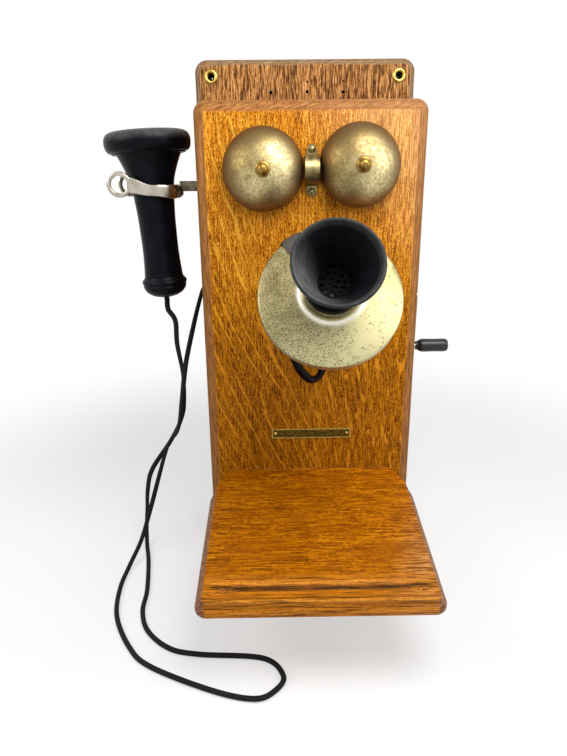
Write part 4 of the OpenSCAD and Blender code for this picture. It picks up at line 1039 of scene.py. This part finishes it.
# %% Face and mouthpiece
FACE_R, COLLAR_R, COLLAR_Z = 55, 20.5, 17.5
CONE_R, CONE_IN, CONE_Z = 53.6, 28.0, 6.5
face_outline = [(53.4, -9), (FACE_R, -9), (FACE_R, -0.6, 1.0), (CONE_R, 0.15, 0.8)]
face_outline += [(CONE_R - (CONE_R - CONE_IN)*t, 0.15 + (CONE_Z - 0.35)*(t**0.92))
                 for t in (k/10 for k in range(1, 11))]
face_outline += [(25.6, 6.75), (24.0, 7.5), (22.9, 8.8), (22.2, 10.6), (21.6, 12.8),
                 (21.2, 15.0, 0.3), (21.7, 15.6, 0.3), (21.7, 16.6, 0.4), (20.9, COLLAR_Z, 0.5),
                 (16.9, COLLAR_Z), (16.9, 4.8), (19.4, 4.7), (51.8, -1.7), (53.4, -2.6)]
face = make_object("face_cap", *softly_turned(face_outline, (0.3, 3), on_face, 144),
                   FACE_NICKEL, "transmitter", "nickel", ["face_plate"], 40)

GRILLE_Z, MOUTH_R, MOUTH_Z = 25.5, 31.7, 63.7
THROAT_IN, THROAT_OUT = 11.5, 17.2


def horn_in(t):
    return THROAT_IN + (MOUTH_R - 2.9 - THROAT_IN)*t**1.15


def horn_out(t):
    return THROAT_OUT + (MOUTH_R - 0.9 - THROAT_OUT)*t**1.5


def mouth_outline():
    steps = 22
    inner = [(horn_in(k/steps), GRILLE_Z + (MOUTH_Z - 1 - GRILLE_Z)*k/steps)
             for k in range(steps + 1)]
    lip = [(MOUTH_R - 1.5 + 1.5*cos(a), MOUTH_Z - 1.5 + 1.5*sin(a))
           for a in (radians(140 - 15*k) for k in range(15))]
    root = COLLAR_Z + 2
    outer = [(horn_out(k/steps), root + (MOUTH_Z - 3.5 - root)*k/steps)
             for k in range(steps, -1, -1)]
    neck = COLLAR_R - 3.65
    return ([(THROAT_IN, GRILLE_Z - 2)] + inner + lip + outer
            + [(COLLAR_R - 1, root), (COLLAR_R - 1, COLLAR_Z), (neck, COLLAR_Z), (neck, 7.5),
               (neck - 4, 7.5), (neck - 4, GRILLE_Z - 2)])


def paint(made, name, values):
    """Keeps a number for each point of a piece, which its finish can read."""
    made.data.attributes.new(name, "FLOAT", "POINT").data.foreach_set("value", values)


def horn_dust_and_sheen(point):
    """Dust and painted sheen: grey on the lower left of the horn's inside, which faces the
    light, a little on the lip, and a trace elsewhere.
    """
    spot = on_face.inverted() @ (point/MM)
    deep = max(0, spot.z - GRILLE_Z)/(MOUTH_Z - 1 - GRILLE_Z)
    inside = deep > 0 and hypot(spot.x, spot.y) < horn_in(deep) + 0.4
    # The lower left of the inside faces the light and gets painted sheen.
    lit_side = max(0, cos(atan2(spot.y, spot.x) - radians(212)))**1.6
    return max(0.85*lit_side if inside else 0, 0.3 if spot.z > MOUTH_Z - 3 else 0.05)


mouth = make_object("mouth_horn", *turned(mouth_outline(), on_face, 128), HORN,
                    "transmitter", "hard_rubber", ["mouthpiece"], 40)
paint(mouth, "dust", [horn_dust_and_sheen(v.co) for v in mouth.data.vertices])
print("face and horn:", len(face.data.polygons), len(mouth.data.polygons))

# %% [markdown]
# ### The grille
#
# Fourteen holes in two rings let the voice through the floor of the horn. This is work for
# Geometry Nodes: a circle per ring of holes gives the points, a small circle is put on each,
# and one Fill Curve turns the outer circle with all the small ones inside it into a pierced
# disc, which is then given its thickness.

# %% The pierced disc
def new_tree(name, **sizes):
    """A geometry tree, what its named inputs give, and the socket that takes its result."""
    tree = bpy.data.node_groups.new(name, "GeometryNodeTree")
    for way in ("INPUT", "OUTPUT"):
        tree.interface.new_socket("Geometry", in_out=way, socket_type="NodeSocketGeometry")
    for label, value in sizes.items():
        kind = {int: "Int", float: "Float"}.get(type(value), "Material")
        socket = tree.interface.new_socket(label.replace("_", " "), in_out="INPUT",
                                           socket_type="NodeSocket" + kind)
        if kind != "Material":
            socket.default_value = value
    g = NodeTree(tree, "GeometryNode")
    given = {s.name: Signal(g, s) for s in tree.nodes.new("NodeGroupInput").outputs}
    return g, given, tree.nodes.new("NodeGroupOutput").inputs[0]


def baked(name, tree, place, body, slot, **sizes):
    """Runs a geometry tree and keeps its result as a plain mesh at its place."""
    holder = add_object(name + "_base", bpy.data.meshes.new(name + "_base"))
    modifier = holder.modifiers.new("maker", "NODES")
    modifier.node_group = tree
    for item in tree.interface.items_tree:
        key = item.name.replace(" ", "_")
        if item.in_out == "INPUT" and key in sizes:
            modifier[item.identifier] = sizes[key]
    graph = bpy.context.evaluated_depsgraph_get()
    mesh = bpy.data.meshes.new_from_object(holder.evaluated_get(graph))
    bpy.data.objects.remove(holder)
    mesh.name = name
    mesh.transform(Matrix.Diagonal((MM, MM, MM, 1)) @ place)
    smooth(mesh, 35)
    made = add_object(name, mesh)
    settle(made, body)
    return made


def joined(g, *shapes):
    """Several shapes as one."""
    join = g.node("JoinGeometry")
    for shape in shapes:
        g.put(shape, join.socket.node.inputs[0])
    return join


def grille_tree():
    g, given, out = new_tree("pierced disc", Disc=11.8, Hole=1.7, Inner_ring=3.6, Inner_count=4,
                             Outer_ring=8.4, Outer_count=10, Thickness=2.0, Finish=GRILLE)

    def circle(steps, radius):
        return g.node("CurvePrimitiveCircle", Resolution=steps, Radius=radius)

    shapes, hole = [circle(64, given["Disc"])], circle(20, given["Hole"])
    for ring, turn in (("Inner", 0.35), ("Outer", 0.14)):
        count = given[ring + " count"]
        spun = g.node("Transform", Geometry=circle(count, given[ring + " ring"]),
                      Rotation=(0, 0, turn))
        spots = g.node("CurveToPoints", Curve=spun, Count=count)
        holes = g.node("InstanceOnPoints", Points=spots, Instance=hole)
        shapes.append(g.node("RealizeInstances", Geometry=holes))
    sheet = g.node("FillCurve", Curve=joined(g, *shapes))
    thick = g.node("ExtrudeMesh", Mesh=sheet, Individual=False, Offset_Scale=given["Thickness"])
    both = joined(g, thick, g.node("FlipFaces", Mesh=sheet))
    merged = g.node("MergeByDistance", Geometry=both, Distance=0.01)
    g.put(g.node("SetMaterial", Geometry=merged, Material=given["Finish"]), out)
    return g.tree


grille = baked("grille", grille_tree(), on_face @ Matrix.Translation((0, 0, GRILLE_Z - 2)),
               "transmitter", "hard_rubber", Outer_count=10, Finish=GRILLE)
print("grille faces:", len(grille.data.polygons))

# %% [markdown]
# ### The lug
#
# A dark lug is hooked over the rim of the face and runs in under the mouthpiece. It is a bent
# strip: a few stations along it, each as wide as the strip, laid a little above the cone.

# %% The lug
LUG_ANGLE, LUG_HALF, LUG_T = radians(121.5), 8.6, 1.0


def lug_strip():
    stations = [(56.6, -6.5), (56.6, -1.0), (56.0, 0.6), (54.6, 1.5), (50, 2.2), (43, 3.7),
                (36, 5.3), (29, 7.0)]
    points, faces, across = [], [], 9
    for lift in (0.0, LUG_T):
        for i, (r, z) in enumerate(stations):
            out = Vector((lift, 0)) if i < 2 else Vector((0.35*lift, 0.9*lift))
            for k in range(across):
                side = LUG_HALF*(2*k/(across - 1) - 1)
                away = r + out.x - side*side/(2*r)
                drop = z - LUG_T*0.4 + out.y - 0.02*abs(side)
                points.append(on_face @ Vector((
                    away*cos(LUG_ANGLE) - side*sin(LUG_ANGLE),
                    away*sin(LUG_ANGLE) + side*cos(LUG_ANGLE), drop)))
    rows, layer = len(stations), len(stations)*across
    for base, turn in ((0, False), (layer, True)):
        for i in range(rows - 1):
            for k in range(across - 1):
                a = base + i*across + k
                face = (a, a + 1, a + across + 1, a + across)
                faces.append(face if turn else face[::-1])
    rim = (list(range(across)) + [i*across + across - 1 for i in range(1, rows)]
           + [(rows - 1)*across + k for k in range(across - 2, -1, -1)]
           + [i*across for i in range(rows - 2, 0, -1)])
    faces += [(rim[i], rim[(i + 1) % len(rim)], rim[(i + 1) % len(rim)] + layer, rim[i] + layer)
              for i in range(len(rim))]
    return points, faces


lug = make_object("lug_strip", *lug_strip(), METAL["lug_metal"], "transmitter", "nickel")
print("lug faces:", len(lug.data.polygons))

# %% [markdown]
# ### The receiver
#
# An old outside-terminal receiver is three turned pieces of hard rubber: a long waisted
# shell, a wide ear cap with a dished top and a small hole, and a tail cap out of which the
# cord comes. The whole leans three degrees in the hook.

# %% The receiver
on_receiver = Matrix.Translation(RECEIVER) @ Matrix.Rotation(-LEAN, 4, "Y")
SHELL_TOP = 27


def shell_outline(off):
    n = 24
    flare = [(19.6 + 9.6*(k/n)**1.35 - off, SHELL_TOP*k/n) for k in range(n, 0, -1)]
    body = [(19.6 - 2.6*sin(pi/2*k/n) - off, -40*k/n) for k in range(n + 1)]
    foot = [(17 - 0.4*sin(pi*t) + 1.2*t**2.2 - off, -40 - 43.5*t)
            for t in (k/n for k in range(1, n + 1))]
    return flare + body + foot


shell = make_object("receiver_barrel",
                    *turned(shell_outline(0) + shell_outline(3)[::-1], on_receiver, 96), RUBBER,
                    "receiver", "hard_rubber", ["receiver_shell"])
EAR_R, EAR_TOP = 38.8, 46.2
ear_outline = [(5, 41.0, 0.8), (5, 33), (26, 32), (26, 27), (29.3, 27), (31.0, 26.6, 0.4),
               (33.0, 26.6, 0.5), (33.4, 27.9, 0.4), (35.4, 28.1, 1.0), (37.6, 30.4, 2),
               (38.6, 34, 3), (EAR_R, 37.5, 3), (38.2, 41, 3), (36.4, 43.9, 2.5),
               (33, 45.7, 2.5), (29, EAR_TOP, 3), (22, 45.3, 5), (12, 43.0, 6)]
ear = make_object("ear_cap_turned", *softly_turned(ear_outline, (0.5, 7), on_receiver, 112),
                  HORN, "receiver", "hard_rubber", ["ear_cap"])
# Painted sheen with dust: the top of the ear cap is greyer.
heights = ((on_receiver.inverted() @ (v.co/MM)).z for v in ear.data.vertices)
paint(ear, "dust", [0.5*min(max(z - 37, 0)/6, 1) for z in heights])
tail_outline = [(1.7, -103.8), (6.5, -103.6, 2), (12.5, -102, 3), (17.2, -99, 3),
                (19.8, -95.2, 2), (20.5, -92.2, 0.4), (20.0, -91.5, 0.2), (20.6, -90.9, 0.3),
                (21.3, -88.8, 1.2), (20.7, -86.9, 1), (18.6, -84.9, 1.2), (17.9, -82.6, 0.3),
                (15, -82.6), (15, -98), (1.7, -99)]
tail = make_object("tail_cap_turned", *softly_turned(tail_outline, (0.4, 5), on_receiver, 96),
                   RUBBER, "receiver", "hard_rubber", ["tail_cap"])
print("receiver faces:", sum(len(made.data.polygons) for made in (shell, ear, tail)))

# %% [markdown]
# ### The switch hook
#
# The hook is one nickelled forging. A flat band comes off the lever, forks round the
# receiver's neck and ends in two rings, which stop the receiver from slipping off the end.
# Each part is a line with a section swept along it, and the section is a superellipse: a
# curve between an ellipse and a rectangle, which gives the soft edges of worn plating.

# %% The hook's sections
HOOK = Vector((0, -75.85, 374.5))
FORK_X, FORK_R, RING_X, BAND_HALF = -138.5, 21.3, -169.1, 1.45
FORK_ROOT, FORK_RUN, FORK_TIP = -115.8, 47.3, -162


def loop_section(wide, high, power, count=24):
    """A closed superellipse of half sizes wide and high."""
    turns = (2*pi*k/count for k in range(count))
    return [(wide*copysign(abs(cos(a))**(2/power), cos(a)),
             high*copysign(abs(sin(a))**(2/power), sin(a))) for a in turns]


def swept(stations):
    """Joins sections of the same count, each a list of points, and closes the two ends."""
    count = len(stations[0])
    points = [p for section in stations for p in section]
    return points, tube_faces(len(stations), count)


def ease(t):
    t = min(max(t, 0), 1)
    return t*t*(3 - 2*t)


def band_station(x, y, way):
    """One section of the fork's band: its middle and height change from the root to the ring."""
    u = (FORK_ROOT - x)/FORK_RUN
    middle = -5.2 + 2.0*ease(2*u) if u < 0.5 else -3.2 + 5.2*ease(2*u - 1)
    half = (13.2 + (9.8 - 13.2)*ease(2*u) if u < 0.5 else 9.8 + 4.2*ease(2*u - 1))/2
    past = min(max(0.0, 1 - (u - 0.03)/0.17), 1.0)
    half *= 0.5 + 0.5*sqrt(1 - past*past)
    middle += 0.8*past
    side = Vector((way.y, -way.x, 0))
    return [HOOK + Vector((x, y, middle + h)) + side*w
            for w, h in loop_section(BAND_HALF, half, 3)]


print("points in a section:", len(loop_section(3.0, 4.5, 3.4)))

# %% [markdown]
# The fork and the lever are swept; the two rings and the boss round the pivot pin are turned.
# The lever and the side of the fork that faces the receiver's neck get a second, darker nickel
# finish as painted shade.

# %% The hook
def fork():
    line = [(FORK_TIP + (FORK_X - FORK_TIP)*k/12, -FORK_R) for k in range(12)]
    line += [(FORK_X + FORK_R*cos(a), FORK_R*sin(a))
             for a in (radians(-90 + 180*k/36) for k in range(37))]
    line += [(FORK_X - (FORK_X - FORK_TIP)*k/12, FORK_R) for k in range(1, 13)]
    line = [Vector((x, y, 0)) for x, y in line]
    return swept([band_station(p.x, p.y, heading(line, i)) for i, p in enumerate(line)])


def lever():
    return swept([[HOOK + Vector((x, w, h)) for w, h in loop_section(3.0, 4.5, 3.4)]
                  for x in (-118.5, -117.5, -100, -80, -60, -49.2, -48.2)])


def ring(y):
    outline = [(9.3 + r, z) for r, z in loop_section(1.9, 1.4, 2.6, 16)]
    return turned(outline, front_place(RING_X, HOOK.z + 2, HOOK.y + y), 48)


boss = softly_turned([(2.3, -3), (6, -3), (6, 3), (2.3, 3)], (),
                     front_place(-62, HOOK.z, HOOK.y), 40)
hook = make_object("fork_and_lever",
                   *gather(fork(), lever(), ring(-FORK_R), ring(FORK_R), boss),
                   METAL["plain_nickel"], "hook", "nickel", ["hook_lever"], 50)
FORK_STARTS, LEVER_ENDS, FACES_IN = -113*MM, -116.6*MM, -4*MM
neck = Vector((FORK_X, HOOK.y))*MM


def second_finish(made, material, covers):
    """Gives another finish to the faces that it covers."""
    made.data.materials.append(material)
    for polygon in made.data.polygons:
        polygon.material_index = int(covers(polygon.center, polygon.normal))


def shaded_on_hook(here, normal):
    """The lever, and the fork on the side of the receiver's neck, get darker nickel as painted
    shade.
    """
    inner = here.x < FORK_STARTS and (here.xy - neck).dot(normal.xy) < FACES_IN
    return here.x > LEVER_ENDS or inner


# Painted shade: the lever and the fork's inner side get darker nickel.
second_finish(hook, METAL["dull_nickel"], shaded_on_hook)
print("hook faces:", len(hook.data.polygons))

# %% [markdown]
# ### The crank handle
#
# The handle is a plain turned grip with a thin neck, which spins on a pin in the crank arm.

# %% The handle
CRANK_Y, HANDLE_Z, NECK_X = -44, 211, 115
on_handle = (Matrix.Translation((NECK_X, CRANK_Y, HANDLE_Z))
             @ Matrix.Rotation(radians(90), 4, "Y"))
handle_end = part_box("crank_handle")[1].x*1000
long = handle_end - NECK_X + 0.5
handle_outline = [(2.4, 0.5), (4.4, 0.5), (4.6, 2.5, 0.6), (6.6, 5.6, 0.8), (7, 8, 1.2),
                  (6.75, 20, 8), (6.95, long - 4.5, 2), (6.2, long - 1.2, 1.2),
                  (4.3, long - 0.5, 0.6), (4.3, long - 2.4), (2.4, long - 2.4)]
make_object("grip", *softly_turned(handle_outline, (0.4, 4), on_handle, 56), GRIP, "handle",
            "hard_rubber", ["crank_handle"])
print("handle ends at", round(handle_end, 1))

# %% [markdown]
# ### The brass eyelets
#
# Two brass eyelets line the holes by which the telephone hangs. Each is a turned funnel with a
# rolled lip, and is painted black down in its throat, as painted shade in the hole.

# %% The eyelets
EYELET_X, EYELET_Z, THROAT_Y = 92, 475.5, -7.8*MM
eyelet = [(1.1, -18), (4.5, -18), (4.5, -0.1), (6.2, 0), (6.3, 0.5, 0.4), (5.6, 1.15, 0.5),
          (4.5, 1.2, 0.5), (3.6, 0.7, 0.5), (2.9, -1.2, 1.0), (2.5, -4, 1.0), (1.1, -8, 1.0)]
eyelets = make_object("brass_eyelets", *gather(*(
    softly_turned(eyelet, (0.3, 4), front_place(x, EYELET_Z, -9), 48)
    for x in (-EYELET_X, EYELET_X))), METAL["brass"], "case", "brass", ["grommets"])
# Painted shade: the throat of each eyelet is black inside.
second_finish(eyelets, METAL["black_iron"], lambda here, normal: here.y > THROAT_Y)
print("eyelet faces:", len(eyelets.data.polygons))

# %% [markdown]
# ### The writing shelf
#
# The shelf is one oak board that slopes towards the writer. Its back corners are cut off, its
# sides and front are moulded, and a pencil groove runs along the front and fades out before
# the corners. A bevel would give one round edge; a table of rings can follow the worn moulding,
# with its own distance from the board's outline, height and corner radius for each of them.

# %% The shelf's sizes
SHELF_W, SHELF_D, SHELF_T = 191, 169, 17
SLOPE = radians(8.7)
on_shelf = Matrix.Translation((0, DOOR_FRONT, 109)) @ Matrix.Rotation(SLOPE, 4, "X")
CLIP_X, CLIP_Y = 14, 33
# in from the side, in from the front, height, corner radius, how rubbed, partly as painted
# highlight
SHELF_RINGS = [(6.3, 2.6, 0, 2.5, 0.6), (5.9, 2.2, -0.3, 2.8, 1.0), (5.6, 1.9, -0.9, 3.0, 1.0),
               (5.4, 1.8, -1.9, 3.2, 0.4), (4.6, 2.0, -2.8, 4.0, 0), (3.4, 2.3, -4.2, 5.0, 0),
               (2.3, 2.2, -5.8, 6.0, 0), (1.3, 1.6, -7.4, 7.0, 0.1), (0.5, 0.8, -9.0, 8.0, 0.4),
               (0.1, 0.2, -10.8, 8.5, 0.5), (0.05, 0.05, -12.6, 8.7, 0.3),
               (0.3, 0.3, -14.4, 8.5, 0), (1.2, 1.2, -16.1, 8.0, 0), (2.8, 2.8, -SHELF_T, 7.0, 0)]
FRONT_STEP = SHELF_RINGS[0][1]
BACK_ROWS = [0, -1.4, -6, -12, -18, -24, -30, -31.5, -CLIP_Y, -34, -35, -36, -37, -38, -39, -41]
CLIPPED = BACK_ROWS[-1]
RUN = [k/20*0.84 for k in range(1, 21)] + [0.84 + 0.16*k/24 for k in range(1, 25)]
CORNER = [radians(a) for a in (15, 30, 45, 60, 75, 90)]
COLUMNS = 88
GROOVE = ((0, 0), (1.5, 0.1), (3, 0.5), (6, 1.5), (9, 2.4), (12, 3.0), (13, 2.95), (13.8, 2.5),
          (14.7, 1.5), (15.8, 0.75), (17.2, 0.28), (19, 0))


def shelf_rows(side, front, height, corner):
    """Depth and half width of the board's rows, from the door to the front corners."""
    back = height*tan(SLOPE)
    straight, clipped = SHELF_W/2 - side, SHELF_W/2 - 4
    turn_y = -(SHELF_D - front - corner)
    rows = []
    for y in [min(y, back) for y in BACK_ROWS] + [CLIPPED + (turn_y - CLIPPED)*t for t in RUN]:
        cut = clipped - (CLIP_X*(1 + y/CLIP_Y)**1.25 if y > -CLIP_Y else CLIP_Y + y)
        rows.append((y, min(straight, cut)))
    return rows + [(turn_y - corner*sin(a), straight - corner*(1 - cos(a)))
                   for a in CORNER]


print("shelf rows:", len(shelf_rows(*SHELF_RINGS[0][:4])))

# %% [markdown]
# Wear and painted light go onto the points as four numbers: how rubbed they are, partly as a
# painted highlight on the lip of the groove; whether they lie on a side, which gets painted
# shade, or on the back edge, which gets a greyish line; how dark they are, with dirt and painted
# shade in the groove and a dark line near the front edge; and whether they belong to the front,
# where the wood has cracked.

# %% The groove and the wear
def groove_depth(x, y):
    """The groove is 19 mm broad, and narrows to 8 mm where it fades out."""
    end = 1 - ease((abs(x) - 60)/30)
    run = (y + SHELF_D - FRONT_STEP)*19/(8 + 11*end)
    return np.interp(run, *zip(*GROOVE))*end**0.8


def near(value, at, width):
    return max(0, 1 - abs(value - at)/width)


def top_wear(x, y):
    run = y + SHELF_D - FRONT_STEP
    along = 1 - ease((abs(x) - 78)/14)
    # Rubbed wear, with a painted highlight on the lip of the groove and on the front edge.
    rubbed = max(near(run, 17.6, 2.4)*along, 0.8*max(0, 1 - run/1.2))
    # Dirt and painted shade on the groove's steep wall, and a dark line near the front edge.
    darkening = max(min(1, 1.5*near(run, 13.6, 2.2))*along, 0.8*near(run, 2.6, 1.4))
    return rubbed, 0.9 if y == 0 else 0.0, darkening, 1.0 if run < 24 else 0.0


print("groove:", max(depth for _, depth in GROOVE), "mm deep")

# %% [markdown]
# The top is a grid whose points sink where the groove is. Below it the edge is made of rings of
# the same points.

# %% The shelf's grid
def rim_places(last):
    """The rows and columns of the grid's border, in the order in which it is walked."""
    return ([(i, 0) for i in range(last)] + [(last, k) for k in range(COLUMNS)]
            + [(i, COLUMNS) for i in range(last, -1, -1)]
            + [(0, k) for k in range(COLUMNS - 1, 0, -1)])


def shelf_board():
    rows = shelf_rows(*SHELF_RINGS[0][:4])
    places = [(half*(2*k/COLUMNS - 1), y) for y, half in rows for k in range(COLUMNS + 1)]
    points = [(x, y, -groove_depth(x, y)) for x, y in places]
    wear = [top_wear(x, y) for x, y in places]
    width, last = COLUMNS + 1, len(rows) - 1
    faces = [(i*width + k, (i + 1)*width + k, (i + 1)*width + k + 1, i*width + k + 1)
             for i in range(last) for k in range(COLUMNS)]
    rim = [row*width + k for row, k in rim_places(last)]
    for in_side, front, height, corner, rub in SHELF_RINGS[1:]:
        rows = shelf_rows(in_side, front, height, corner)
        here = list(range(len(points), len(points) + len(rim)))
        for row, k in rim_places(last):
            y, half = rows[row]
            points.append((half*(2*k/COLUMNS - 1), y, height))
            # The moulded sides get the greyish painted shade instead of rubbed wear.
            on_side = 1.0 if 0 < row < last and k in (0, COLUMNS) else 0.0
            wear.append((rub*(1 - 0.8*on_side), on_side, 0.0, 1.0 - on_side))
        faces += [(rim[j], here[j], here[(j + 1) % len(here)], rim[(j + 1) % len(rim)])
                  for j in range(len(rim))]
        rim = here
    return points, faces + [tuple(rim)], wear


shelf_points, shelf_faces, shelf_wear = shelf_board()
shelf = make_object("writing_shelf", [on_shelf @ Vector(p) for p in shelf_points], shelf_faces,
                    OAK["shelf"], "door", "oak", ["shelf"], 50)
for label, values in zip(("worn", "side", "darkening", "front"), zip(*shelf_wear)):
    paint(shelf, label, values)
print("shelf faces:", len(shelf.data.polygons))

# %% [markdown]
# ## Finishes on the solid model's own pieces
#
# What the solid model already has in its right shape keeps its mesh and only gets a finish.
# Most of it is inside the case, and shows when the door is open.

# %% Finish the solid pieces
DRESS = {
    OAK["board"]: ["backboard"],
    OAK["door"]: ["door_panel"],
    OAK["side"]: ["case_left", "case_right"],
    OAK["rail"]: ["case_top", "case_bottom", "generator_shelf"],
    OAK["bracket"]: ["shelf_brackets"],
    METAL["brass"]: ["hinge_leaves_case", "hinge_leaves_door", "hinge_pins", "contact_springs",
                     "catch_stud", "generator_plates", "carbon_button", "crank_bushing",
                     "terminal_screws", "nameplate_pins"],
    PLATE: ["nameplate"],
    METAL["guard_nickel"]: ["clapper_guard", "guard_screws"],
    METAL["plain_nickel"]: ["slot_plate", "crank_arm"],
    METAL["steel"]: ["hook_pin", "crank_shaft", "catch_clip", "clapper", "diaphragm",
                     "bell_posts", "pole_pieces", "bracket_screws", "pivot_bolt", "armature"],
    METAL["black_iron"]: ["hook_bracket", "ringer_frame", "transmitter_bracket",
                          "transmitter_cup", "induction_ends"],
    METAL["magnet_red"]: ["generator_magnets", "ringer_magnet", "receiver_magnet"],
    WINDING: ["induction_winding", "ringer_coils", "armature_winding"],
    RUBBER: ["cord_bushing", "contact_insulators", "terminal_strip"],
}
for material, names in DRESS.items():
    for name in names:
        mesh = nodes[name].data
        mesh.materials.clear()
        mesh.materials.append(material)
left = set(nodes) - {n for names in DRESS.values() for n in names} - COVERED
print("nodes without a finish:", sorted(left))

# %% [markdown]
# ## Last lines
